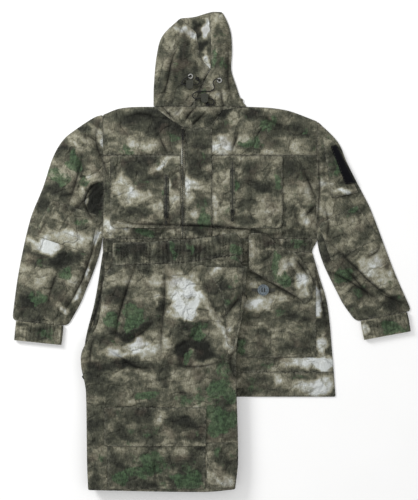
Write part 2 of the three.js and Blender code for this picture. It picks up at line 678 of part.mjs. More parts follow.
const kneePatch = () => panel('knee_patch', [
  [CARGO_LEFT + 4, KNEE_Y + 14],
  [LEG_LEFT - 10, KNEE_Y + 16],
  [LEG_LEFT - 3, KNEE_Y + 90],
  [LEG_LEFT - 3, KNEE_Y + 138],
  [CARGO_LEFT + 4, KNEE_Y + 138],
], ON_LEG_Z, CLOTH, OLIVE);

// A strip beside the fly runs from the waistband down the front edge to the crotch.
const flyShield = () => panel('fly_shield', [
  [waistLeft + 4, WAIST_TOP - 2 - WAISTBAND - 4],
  [waistLeft - 4, WAIST_TOP - 180],
  [LEG_LEFT - 12, crotchY + 6],
  [LEG_LEFT - 30, crotchY + 20],
  [waistLeft - 52, WAIST_TOP - 150],
  [waistLeft - 100, WAIST_TOP - WAISTBAND - 4],
], ON_LEG_Z, CLOTH, PALE);

// ---- Assembly ----
const group = (...pieces) => new THREE.Group().add(...pieces.flat());

const suit = group(
  group(
    jacketBack(), yokes(), fronts(), collar(), closure(), waistCasing(), skirts(), sliders(),
    chestPockets.flatMap(chestPocket),
    skirtPocket('left', LEFT_POCKET_X),
    skirtPocket('right', RIGHT_POCKET_X),
    leftSkirtFlap(), hemCord(),
    buttonTape(),
    placed(slottedButton(), ...BUTTON_AT, ON_POCKET_Z + TAPE.thickness + CLEAR),
    upperSleeves('left', TAN),
    upperSleeves('right', OLIVE),
    elbowPatch('left'), elbowPatch('right'), sleevePocket(),
  ),
  group(forearm('left', TAN)),
  group(forearm('right', OLIVE)),
  group(hood(), hoodCord('left'), hoodCord('right')),
  group(legs(), lowerLegs(), cargo(), kneePatch(), flyShield()),
);

// The suit's origin is the middle of the rectangle that it covers, on the surface that it lies on.
const extent = new THREE.Box3().setFromObject(suit);
const middle = extent.getCenter(new THREE.Vector3());
suit.position.set(-middle.x, -middle.y, -extent.min.z);

export default suit;
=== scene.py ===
"""The looks of a two-piece camouflage suit laid out flat: a hooded jacket with its arms spread, and
trousers folded in half and at the knee that lie across the lower half of the jacket.

Every panel of cloth takes its outline from the CAD node that it replaces. Its height comes from the
layer it belongs to, with rolled edges, gathers and folds. All sizes are in metres.
"""

import json
import math

import bmesh
import bpy
import numpy as np
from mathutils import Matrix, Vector, geometry, kdtree, noise


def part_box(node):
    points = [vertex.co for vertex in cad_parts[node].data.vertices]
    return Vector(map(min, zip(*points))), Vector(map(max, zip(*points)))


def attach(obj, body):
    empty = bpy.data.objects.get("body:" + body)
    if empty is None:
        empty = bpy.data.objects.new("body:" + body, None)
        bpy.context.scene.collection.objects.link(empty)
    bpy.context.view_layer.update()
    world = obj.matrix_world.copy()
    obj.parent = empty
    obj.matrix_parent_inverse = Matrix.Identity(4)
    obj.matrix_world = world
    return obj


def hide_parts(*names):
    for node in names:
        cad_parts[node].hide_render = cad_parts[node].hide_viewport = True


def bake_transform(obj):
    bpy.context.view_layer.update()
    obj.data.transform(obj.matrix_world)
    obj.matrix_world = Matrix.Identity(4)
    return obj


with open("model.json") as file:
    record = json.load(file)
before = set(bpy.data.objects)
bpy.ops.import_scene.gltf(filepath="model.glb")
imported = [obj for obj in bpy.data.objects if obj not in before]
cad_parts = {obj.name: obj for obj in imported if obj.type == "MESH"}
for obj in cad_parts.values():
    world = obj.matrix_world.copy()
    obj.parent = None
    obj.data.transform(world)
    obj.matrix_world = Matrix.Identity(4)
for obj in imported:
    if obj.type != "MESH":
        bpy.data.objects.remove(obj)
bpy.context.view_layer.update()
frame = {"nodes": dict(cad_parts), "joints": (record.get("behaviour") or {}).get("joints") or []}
noise.seed_set(11)  # without a seed, noise_vector gives other values in every run


def linked(name, data):
    """A new object, in the scene."""
    piece = bpy.data.objects.new(name, data)
    bpy.context.scene.collection.objects.link(piece)
    return piece


# ---- Cloth ----
STEP = 0.0042  # distance between neighbouring points of a panel
THICK = 0.0012  # cloth with its lining
RIM = 0.0021  # distance from an edge to the first row of points inside it
SEAM_GAP = 0.0025  # outlines nearer than this are sewn together
EDGE_Z = 0.0034  # height of the front layer at a free edge
CREST_Z = 0.0098  # and away from its edges
ROLL = 0.017  # distance over which it climbs
CORNER = math.radians(38)  # an outline turns sharper than this only at a corner
SHARP = math.radians(62)  # cloth is shaded with a sharp edge where its faces turn more than this
RIB = 0.0105  # distance between the ribs of gathered elastic
STITCH = 0.0042  # distance from one stitch to the next


# ---- Camera: straight above, over the middle of the suit ----
CAMERA_HEIGHT = 3.2
SENSOR = 36  # in millimetres, as Blender has it
VIEW_HEIGHT = 1.3527  # the length of floor that fits the upright frame
VIEW_CENTRE = (-0.0078, 0.0027)


def add_camera():
    data = bpy.data.cameras.new("camera")
    data.sensor_width = SENSOR
    data.lens = SENSOR * CAMERA_HEIGHT / VIEW_HEIGHT
    camera = linked("camera", data)
    camera.location = (*VIEW_CENTRE, CAMERA_HEIGHT)
    bpy.context.scene.camera = camera


add_camera()


# ---- Cords: their routes repeat those of the CAD ----
CORD = 0.003
ON_FRONT = 0.0103  # height of the front layer where a cord lies on it
IN_LOCK = 0.0148  # height of a cord where its lock holds it


def smooth_path(points, step):
    """Points about a step apart on a smooth curve through the given points."""
    points = [np.array(p, float) for p in points]
    points = [2 * points[0] - points[1], *points, 2 * points[-1] - points[-2]]
    path = []
    for before, start, end, after in zip(points, points[1:], points[2:], points[3:]):
        count = max(1, round(np.linalg.norm(end - start) / step))
        for t in np.arange(count) / count:
            path.append(start + 0.5 * t * (end - before + t * (
                2 * before - 5 * start + 4 * end - after + t * (3 * (start - end) + after - before))))
    return [*path, points[-2]]


def bridge(bm, rings):
    """Faces between each ring of vertices and the next."""
    for a, b in zip(rings, rings[1:]):
        for i in range(len(a)):
            j = (i + 1) % len(a)
            bm.faces.new((a[i], a[j], b[j], b[i]))


def tube(bm, path, radius, sides=10, closed=False):
    """Round cord along a path of close points. Its two ends are flat, or joined when it is closed."""
    path = [Vector(p) for p in path]
    count = len(path)
    rings = []
    for i, point in enumerate(path):
        ahead = path[(i + 1) % count] if closed else path[min(i + 1, count - 1)]
        back = path[i - 1] if closed else path[max(i - 1, 0)]
        way = (ahead - back).normalized()
        side = way.cross(Vector((0.3, 0.2, 1))).normalized()
        up = side.cross(way)
        rings.append([bm.verts.new(point + radius * (math.cos(a) * side + math.sin(a) * up))
                      for a in (2 * math.pi * k / sides for k in range(sides))])
    bridge(bm, rings + rings[:1] if closed else rings)
    if not closed:
        for ring, tip in ((rings[0], path[0]), (rings[-1], path[-1])):
            end = bm.verts.new(tip)
            for k in range(sides):
                bm.faces.new((ring[k], ring[(k + 1) % sides], end))


def add_cord(node, body, path):
    bm = bmesh.new()
    tube(bm, path, CORD / 2)
    bmesh.ops.recalc_face_normals(bm, faces=bm.faces)
    mesh = bpy.data.meshes.new(node + "_braid")
    bm.to_mesh(mesh)
    bm.free()
    mesh.shade_smooth()
    piece = linked(node + "_braid", mesh)
    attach(piece, body)
    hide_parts(node)
    return piece


def lifted(route, z):
    """A route of (x, y, height above z) with its heights above the floor."""
    return [(x, y, z + h) for x, y, h in route]


HELD = IN_LOCK - ON_FRONT
CORD_STEP = 0.003
CORD_ROUTES = {
    "right_drawcord": lifted([
        (-0.058, 0.471, 0.0036), (-0.068, 0.468, 0.0036), (-0.077, 0.461, 0.0036), (-0.081, 0.453, 0.0040),
        (-0.077, 0.4485, HELD), (-0.071, 0.448, HELD), (-0.060, 0.448, HELD), (-0.049, 0.448, HELD),
        (-0.042, 0.448, HELD), (-0.035, 0.451, 0.0034), (-0.034, 0.459, 0.0022), (-0.040, 0.465, 0.0018),
    ], ON_FRONT),
    "left_drawcord": lifted([
        (0.020, 0.460, 0.0036), (0.010, 0.463, 0.0036), (0.003, 0.453, 0.0024), (0.007, 0.440, 0.0018),
        (-0.004, 0.431, 0.0018), (-0.022, 0.431, 0.0018), (-0.040, 0.429, 0.0022), (-0.051, 0.422, 0.0032),
        (-0.050, 0.413, HELD - 0.0004), (-0.042, 0.411, HELD), (-0.031, 0.411, HELD), (-0.020, 0.411, HELD),
        (-0.009, 0.411, HELD), (-0.004, 0.411, HELD), (0.004, 0.407, 0.0032), (0.006, 0.400, 0.0022),
        (0.000, 0.394, 0.0018), (-0.012, 0.395, 0.0018),
    ], ON_FRONT),
    "hem_cord": lifted([
        (-0.340, -0.296, 0), (-0.345, -0.303, 0), (-0.346, -0.311, 0), (-0.341, -0.318, 0),
        (-0.338, -0.326, 0), (-0.342, -0.333, 0), (-0.345, -0.340, 0),
    ], ON_FRONT + CORD / 2),
}
CORD_PATHS = {node: smooth_path(route, CORD_STEP) for node, route in CORD_ROUTES.items()}
CORD_PIECES = {node: add_cord(node, "jacket" if node == "hem_cord" else "hood", path)
               for node, path in CORD_PATHS.items()}


# ---- Materials ----
def linear(code):
    """An sRGB colour written as six hex digits, as linear RGBA."""
    parts = [int(code[i:i + 2], 16) / 255 for i in (0, 2, 4)]
    return (*[c / 12.92 if c <= 0.04045 else ((c + 0.055) / 1.055) ** 2.4 for c in parts], 1)


class Nodes:
    """A material's node tree with short names for the nodes that the materials here share."""

    def __init__(self, name, roughness=0.9, metallic=0.0, sheen=0.0, specular=0.5):
        self.material = bpy.data.materials.new(name)
        self.material.use_nodes = True
        self.tree = self.material.node_tree
        self.shader = self.tree.nodes["Principled BSDF"]
        self.shader.inputs["Roughness"].default_value = roughness
        self.shader.inputs["Metallic"].default_value = metallic
        self.shader.inputs["Sheen Weight"].default_value = sheen
        self.shader.inputs["Specular IOR Level"].default_value = specular

    def add(self, kind, inputs=(), **settings):
        node = self.tree.nodes.new(kind)
        for key, value in settings.items():
            setattr(node, key, value)
        for key, value in dict(inputs).items():
            if isinstance(value, bpy.types.NodeSocket):
                self.tree.links.new(value, node.inputs[key])
            else:
                node.inputs[key].default_value = value
        return node

    def math(self, operation, a, b=0.0, c=0.0):
        return self.add("ShaderNodeMath", {0: a, 1: b, 2: c}, operation=operation).outputs[0]

    def attribute(self, name, output="Fac"):
        return self.add("ShaderNodeAttribute", attribute_name=name).outputs[output]

    def stretched(self, vector, scale, location=(0, 0, 0)):
        return self.add("ShaderNodeMapping", {0: vector, "Location": location, "Scale": scale}).outputs[0]

    def noise(self, vector, scale, detail=4.0, rough=0.55, output="Fac"):
        inputs = {"Vector": vector, "Scale": scale, "Detail": detail, "Roughness": rough}
        return self.add("ShaderNodeTexNoise", inputs).outputs[output]

    def ramp(self, value, stops):
        node = self.add("ShaderNodeValToRGB", {0: value})
        elements = node.color_ramp.elements
        while len(elements) < len(stops):
            elements.new(0.5)
        for element, (position, color) in zip(elements, stops):
            element.position = position
            element.color = color
        return node.outputs[0]

    def step(self, value, low, high):
        """0 below low, 1 above high, smooth between."""
        inputs = {"Value": value, "From Min": low, "From Max": high}
        return self.add("ShaderNodeMapRange", inputs, interpolation_type="SMOOTHSTEP").outputs[0]

    def mix(self, factor, a, b, blend="MIX"):
        """Two colours mixed. 6, 7 and 2 are the colour sockets of the node."""
        inputs = {"Factor": factor, 6: a, 7: b}
        return self.add("ShaderNodeMix", inputs, data_type="RGBA", blend_type=blend).outputs[2]

    def bump(self, layers):
        """Stacks bumps, each given as (height, depth in metres, strength)."""
        normal = None
        for height, depth, strength in layers:
            inputs = {"Height": height, "Distance": depth, "Strength": strength}
            if normal is not None:
                inputs["Normal"] = normal
            normal = self.add("ShaderNodeBump", inputs).outputs[0]
        self.tree.links.new(normal, self.shader.inputs["Normal"])

    def color(self, socket):
        self.tree.links.new(socket, self.shader.inputs["Base Color"])
        return self.material


def weave(nodes, vector, pitch):
    """The height of a plain weave whose threads lie a pitch apart."""
    across, along = [
        nodes.add("ShaderNodeTexWave", {"Vector": vector, "Scale": 0.314 / pitch, "Distortion": 0.4,
                                        "Detail": 1.0}, bands_direction=way).outputs["Fac"]
        for way in ("X", "Y")
    ]
    return nodes.math("MULTIPLY", across, along)


CLOTH_SPECULAR = 0.12  # low, so that the dark tones stay dark under a white sky
WEAVE_PITCH = 0.0009
PRINT_TONES = [
    (0.00, linear("2b2c28")), (0.17, linear("3e3f38")), (0.32, linear("54554a")),
    (0.44, linear("6c6b5e")), (0.54, linear("888575")), (0.68, linear("a5a292")),
    (0.86, linear("bcbdb5")), (1.00, linear("d6d9d8")),
]


def camouflage_material():
    """Cloth printed with soft blotches. The attribute 'cloth' holds each point's place on the flat
    cloth. 'tone' and 'green' push the print towards pale or dark, and towards green. The grooves'
    attribute is painted shade that darkens folds, panel outlines and the valleys between gathers,
    and 'edge' wears the rims pale."""
    n = Nodes("camouflage_cloth", roughness=0.92, sheen=0.05, specular=CLOTH_SPECULAR)
    cloth = n.attribute("cloth", "Vector")
    warp = n.noise(cloth, 26.0, 3.0, output="Color")
    shift = n.add("ShaderNodeVectorMath", {0: warp, 1: (0.5, 0.5, 0.5)}, operation="SUBTRACT").outputs[0]
    small = n.add("ShaderNodeVectorMath", {0: shift, "Scale": 0.030}, operation="SCALE").outputs[0]
    warped = n.add("ShaderNodeVectorMath", {0: cloth, 1: small}, operation="ADD").outputs[0]

    clouds = n.noise(n.stretched(warped, (0.72, 1.25, 1.0)), 11.5, 5.0, 0.6)
    patches = n.noise(n.stretched(warped, (0.9, 1.1, 1.0), (4.7, 8.1, 0.0)), 27.0, 5.0, 0.58)
    mottle = n.noise(cloth, 95.0, 6.0, 0.7)
    specks = n.noise(n.stretched(cloth, (1.0, 0.8, 1.0), (3.1, 1.7, 0.0)), 280.0, 3.0, 0.6)
    placed = n.math("MULTIPLY", n.attribute("tone"), n.math("MULTIPLY_ADD", patches, 1.0, 0.5))
    level = n.math("MULTIPLY_ADD", placed, 0.37, 0.435)
    for field, gain in ((clouds, 1.15), (patches, 1.10), (mottle, 0.46), (specks, 0.24)):
        level = n.math("MULTIPLY_ADD", n.math("SUBTRACT", field, 0.5), gain, level)
    color = n.ramp(level, PRINT_TONES)

    brown = n.step(n.noise(n.stretched(warped, (1.0, 1.0, 1.0), (7.3, 2.9, 0.0)), 19.0, 3.0), 0.52, 0.72)
    color = n.mix(n.math("MULTIPLY", brown, 0.30), color, linear("786b60"))
    leaf = n.noise(n.stretched(warped, (1.1, 1.0, 1.0), (1.9, 5.3, 0.0)), 21.0, 4.0, 0.62)
    leaf = n.step(n.math("MULTIPLY_ADD", n.attribute("green"), 0.34, leaf), 0.62, 0.74)
    not_pale = n.math("SUBTRACT", 1.0, n.step(level, 0.56, 0.74))
    leaf = n.math("MULTIPLY", n.math("MULTIPLY", leaf, not_pale), 0.70)
    moss = n.mix(n.step(mottle, 0.35, 0.65), linear("3c4d3b"), linear("5f7a5a"))
    color = n.mix(leaf, color, moss)

    slub = n.noise(n.stretched(cloth, (900.0, 70.0, 1.0)), 1.0, 2.0)
    color = n.mix(n.step(slub, 0.25, 0.75), color, linear("76786f"), "SOFT_LIGHT")
    # Painted shade: the grooves' attribute mixes the colour towards near-black in folds, along panel
    # outlines and between gathered ribs.
    creased = n.math("MULTIPLY", n.attribute("crease_shade"), 0.92)
    color = n.mix(creased, color, linear("10100d"))
    wear = n.math("MULTIPLY", n.attribute("edge"), n.step(mottle, 0.42, 0.62))
    color = n.mix(n.math("MULTIPLY", wear, 0.35), color, linear("a3a192"))
    wrinkles = []
    for stretch, scale, start in (((1.5, 0.8, 1.0), 9.0, 0.0), ((0.7, 1.2, 1.0), 14.0, 3.3)):
        field = n.noise(n.stretched(warped, stretch, (start, start, 0)), scale, 2.0, 0.5)
        line = n.math("ABSOLUTE", n.math("SUBTRACT", field, 0.5))
        # Thin dark lines along noise wrinkles are painted shade in small creases; the same lines also bump
        # the surface.
        where = n.step(n.noise(cloth, 7.0 + scale, 2.0), 0.46, 0.62)
        wrinkle_shade = n.math("MULTIPLY", n.math("SUBTRACT", 1.0, n.step(line, 0.0, 0.013)), where)
        color = n.mix(n.math("MULTIPLY", wrinkle_shade, 0.40), color, linear("12120f"))
        wrinkles.append((n.step(line, 0.0, 0.05), 0.004, 0.60))
    ruck = n.noise(cloth, 120.0, 5.0, 0.6)
    n.bump([*wrinkles, (ruck, 0.0022, 0.60), (weave(n, cloth, WEAVE_PITCH), 0.00025, 0.5)])
    return n.color(color)


def cloth_material(name, low, high, pitch, sheen, rough):
    """Plain woven cloth between two colours."""
    n = Nodes(name, roughness=rough, sheen=sheen, specular=CLOTH_SPECULAR)
    cloth = n.attribute("cloth", "Vector")
    tint = n.noise(cloth, 60.0, 6.0, 0.65)
    threads = weave(n, cloth, pitch)
    shade = n.math("MULTIPLY_ADD", threads, 0.5, n.math("MULTIPLY", tint, 0.6))
    n.bump([(threads, pitch * 0.4, 0.8)])
    return n.color(n.mix(n.step(shade, 0.2, 0.8), linear(low), linear(high)))


def object_material(name, low, high, rough, metallic=0.0, scratch=0.25, grain=900.0):
    """A hard material whose colour and bump come from the piece's own coordinates."""
    n = Nodes(name, roughness=rough, metallic=metallic)
    place = n.add("ShaderNodeTexCoord").outputs["Object"]
    cloudy = n.noise(place, 260.0, 4.0, 0.6)
    fine = n.noise(place, grain, 3.0, 0.6)
    n.bump([(fine, 0.0001, scratch)])
    worn = n.math("MULTIPLY_ADD", fine, 0.4, n.math("MULTIPLY", cloudy, 0.6))
    n.tree.links.new(n.math("MULTIPLY_ADD", cloudy, 0.25, rough - 0.12), n.shader.inputs["Roughness"])
    return n.color(n.mix(n.step(worn, 0.3, 0.7), linear(low), linear(high)))


CAMOUFLAGE = camouflage_material()
PILE = cloth_material("hook_and_loop", "050508", "111117", pitch=0.0016, sheen=0.06, rough=0.97)
THREAD = object_material("thread", "34342c", "5c5b4e", 0.8)
TEETH = object_material("zip_teeth", "101010", "2c2c2a", 0.45)
ZINC = object_material("zip_metal", "0d0d0d", "35352f", 0.42, 0.6)
STEEL = object_material("eyelet_metal", "8f908c", "e2e2de", 0.3, 0.9)
BRAID = object_material("drawcord", "050505", "1b1b1a", 0.85, grain=2600.0, scratch=0.9)
LOCK = object_material("lock_plastic", "1d1e17", "3a3c30", 0.5)
BUTTON = object_material("button_plastic", "3f474c", "77838a", 0.42)
TAPE_SOLID = object_material("button_tape", "2a2b27", "45463d", 0.9, grain=2200.0, scratch=0.8)


# ---- Outlines ----
def outline_of(node):
    """The outline of a flat CAD panel's upper face, anticlockwise, without points on straight stretches."""
    mesh = frame["nodes"][node].data
    top = max(v.co.z for v in mesh.vertices)
    edges = set()
    for face in mesh.polygons:
        corners = [mesh.vertices[i].co for i in face.vertices]
        if any(top - c.z > 1e-5 for c in corners):
            continue
        keys = [(round(c.x, 5), round(c.y, 5)) for c in corners]
        for a, b in zip(keys, keys[1:] + keys[:1]):
            if (b, a) in edges:
                edges.remove((b, a))
            else:
                edges.add((a, b))
    after = dict(edges)
    start = here = min(after)
    loop = []
    while not loop or here != start:
        loop.append(here)
        here = after[here]
    points = np.array(loop)
    back, ahead = points - np.roll(points, 1, 0), np.roll(points, -1, 0) - points
    turn = np.abs(back[:, 0] * ahead[:, 1] - back[:, 1] * ahead[:, 0])
    return points[turn > 1e-3 * np.linalg.norm(back, axis=1) * np.linalg.norm(ahead, axis=1)]


def joined(first, second):
    """The outline round two panels that meet along a straight line."""
    gap = np.linalg.norm(first[:, None] - second[None], axis=2)
    pairs = sorted((gap[i, j], i, j) for i in range(len(first)) for j in range(len(second)))[:2]
    (_, i0, j0), (_, i1, j1) = pairs

    def walk(points, begin, end):
        count = (end - begin) % len(points)
        return [points[(begin + k) % len(points)] for k in range(count + 1)]

    halves = []
    for points, a, b in ((first, i0, i1), (second, j0, j1)):
        one, two = walk(points, a, b), walk(points, b, a)
        halves.append(one if len(one) > len(two) else two)
    a, b = halves
    return np.array(a[1:-1] + b[1:-1])


def eased(curve, passes=1):
    """A closed curve whose points are drawn towards their neighbours."""
    for _ in range(passes):
        curve = (np.roll(curve, 1, 0) + 2 * curve + np.roll(curve, -1, 0)) / 4
    return curve


def softened(points):
    """Evenly spaced points round an outline that curves through its shallow bends."""
    back = points - np.roll(points, 1, 0)
    ahead = np.roll(points, -1, 0) - points
    angle = np.arctan2(back[:, 0] * ahead[:, 1] - back[:, 1] * ahead[:, 0], (back * ahead).sum(1))
    sharp = np.abs(angle) > CORNER
    across = np.roll(points, -1, 0) - np.roll(points, 1, 0)
    across /= np.linalg.norm(across, axis=1)[:, None]
    walk = []
    for i, p in enumerate(points):
        j = (i + 1) % len(points)
        length = np.linalg.norm(ahead[i])
        direction = ahead[i] / length
        leave = (direction if sharp[i] else across[i]) * length
        arrive = (direction if sharp[j] else across[j]) * length
        count = max(2, int(round(length / STEP)))
        t = (np.arange(count) / count)[:, None]
        walk.append((2 * t**3 - 3 * t**2 + 1) * p + (t**3 - 2 * t**2 + t) * leave
                    + (3 * t**2 - 2 * t**3) * points[j] + (t**3 - t**2) * arrive)
    return eased(np.vstack(walk))


def rounded_near(outline, place, reach):
    """An outline whose corners within reach of a place are rounded off."""
    curve = softened(outline)
    near = np.linalg.norm(curve - place, axis=1) < reach
    return np.where(near[:, None], eased(curve, 9), curve)


def distance_to(points, line):
    """How far each point is from the nearest point of a line of close points."""
    tree = kdtree.KDTree(len(line))
    for i, (x, y) in enumerate(line):
        tree.insert((x, y, 0), i)
    tree.balance()
    return np.array([tree.find((x, y, 0))[2] for x, y in points])


def inside(points, outline):
    """Which points an outline holds."""
    x, y = points[:, 0][:, None], points[:, 1][:, None]
    ax, ay = outline.T
    bx, by = np.roll(outline, -1, 0).T
    spans = (ay > y) != (by > y)
    with np.errstate(divide="ignore", invalid="ignore"):
        hits = spans & (x < (bx - ax) * (y - ay) / (by - ay) + ax)
    return hits.sum(1) % 2 == 1


def inset_line(outline, inset):
    """Points a little inside an outline, leaving out its tight corners, and which way the edge runs
    beside each of them."""
    way = np.roll(outline, -1, 0) - np.roll(outline, 1, 0)
    way /= np.linalg.norm(way, axis=1)[:, None]
    line = outline + inset * np.column_stack([-way[:, 1], way[:, 0]])
    good = inside(line, outline) & (distance_to(line, outline) > inset * 0.9)
    return line[good], way[good]


def triangulated(outline, wanted):
    """Points and triangles that fill an outline evenly, with a row just inside its edge and with those
    of the wanted points that it holds."""
    low, high = outline.min(0), outline.max(0)
    rows = np.arange(low[1], high[1], STEP * 0.87)
    columns = np.arange(low[0], high[0], STEP)
    grid = np.array([(x + (STEP / 2 if i % 2 else 0), y) for i, y in enumerate(rows) for x in columns])
    grid = grid[inside(grid, outline)]
    kept = [outline, inset_line(outline, RIM)[0]]
    close = wanted[((wanted > low) & (wanted < high)).all(1)]
    close = close[inside(close, outline)]
    kept.append(close[distance_to(close, np.vstack(kept)) > STEP / 3])
    grid = grid[distance_to(grid, np.vstack(kept)) > STEP * 0.55]
    points = np.vstack([*kept, grid])
    ring = [(i, (i + 1) % len(outline)) for i in range(len(outline))]
    found = geometry.delaunay_2d_cdt([Vector(p) for p in points], ring, [], 1, 1e-7)
    return np.array([tuple(v) for v in found[0]]), np.array([tuple(f) for f in found[2]])


# ---- Folds and relief ----
def along_line(points, line):
    """Signed distance from each point to a bent line, positive on its left, and how far along it is."""
    line = np.array(line)
    best = np.full(len(points), np.inf)
    signed = np.zeros(len(points))
    travel = np.zeros(len(points))
    lengths = np.linalg.norm(np.diff(line, axis=0), axis=1)
    done = 0.0
    for a, b, length in zip(line[:-1], line[1:], lengths):
        way = (b - a) / length
        rel = points - a
        t = np.clip(rel @ way, 0, length)
        off = np.linalg.norm(rel - t[:, None] * way, axis=1)
        side = np.sign(way[0] * rel[:, 1] - way[1] * rel[:, 0])
        near = off < best
        best[near] = off[near]
        signed[near] = (off * side)[near]
        travel[near] = (done + t[near]) / lengths.sum()
        done += length
    return signed, travel


def drawn_out(folds):
    """Folds with their lines curved and a little unsteady."""
    out = []
    for line, ridge, width, groove in folds:
        path = np.array(smooth_path(line, 0.006))
        drift = [noise.noise_vector(Vector((x, y, 0.5)) / 0.02) for x, y in path]
        out.append((path + 0.0014 * np.array(drift)[:, :2], ridge, width, groove))
    return out


def crease_points(folds):
    """Rows of points on and beside each creased fold, so that a panel's mesh follows it."""
    rows = []
    for line, _, _, groove in folds:
        if groove:
            fine = np.array(smooth_path(line, 0.0032))
            way = np.gradient(fine, axis=0)
            way /= np.linalg.norm(way, axis=1)[:, None]
            across = np.column_stack([-way[:, 1], way[:, 0]])
            rows += [fine + d * across for d in (-0.0028, 0.0, 0.0028)]
    return np.vstack(rows)


def fold_field(points, folds):
    """Height of the folds, and painted shade along their grooves and beside them. Each is (line,
    ridge height, ridge width, groove depth).
    """
    height = np.zeros(len(points))
    crease_shade = np.zeros(len(points))
    for line, ridge, width, groove in folds:
        line = np.array(line)
        reach = 3 * width + 0.02
        near = ((points > line.min(0) - reach) & (points < line.max(0) + reach)).all(1)
        if not near.any():
            continue
        signed, travel = along_line(points[near], line)
        taper = np.sqrt(np.clip(np.sin(np.pi * np.clip(travel, 0.02, 0.98)), 0, 1))
        swell = np.exp(-(((signed - width * 0.7) / width) ** 2)) * (signed > -0.004)
        cut = np.exp(-((signed / 0.0034) ** 2))
        # The dark band along the groove and the broad shadow beside it, on the side away from the ridge,
        # are painted shade.
        shadow = 0.50 * np.exp(-(((signed + 0.004) / 0.007) ** 2))
        dark = np.maximum(np.exp(-((signed / 0.0042) ** 2)), shadow)
        height[near] += taper * (1.25 * ridge * swell - 1.2 * groove * cut)
        crease_shade[near] = np.maximum(crease_shade[near], taper * dark * min(1.0, groove / 0.0020))
    return height, crease_shade


def crumple(points, seed, size, amount):
    """Random soft creases: ridges of noise about a size apart."""
    offset = Vector((seed * 7.31, seed * 3.17, seed))
    values = np.array([
        noise.ridged_multi_fractal(Vector((x / size, y / size, 0)) + offset, 0.9, 2.1, 3, 0.9, 1.6)
        for x, y in points
    ])
    return amount * (values - values.mean())


def gathers(points, x0, x1, y0, y1, fade, pitch, amount, seed):
    """Upright ridges of gathered cloth between two heights, fading out above and below."""
    x, y = points.T
    beyond = np.maximum(np.maximum(y0 - y, y - y1), 0)
    strength = np.exp(-((beyond / fade) ** 2)) * (x > x0) * (x < x1)
    wander = np.array([noise.noise(Vector((px / 0.03, py / 0.12, seed))) for px, py in points])
    return strength * amount * np.cos(2 * np.pi * (x / pitch + 1.3 * wander))
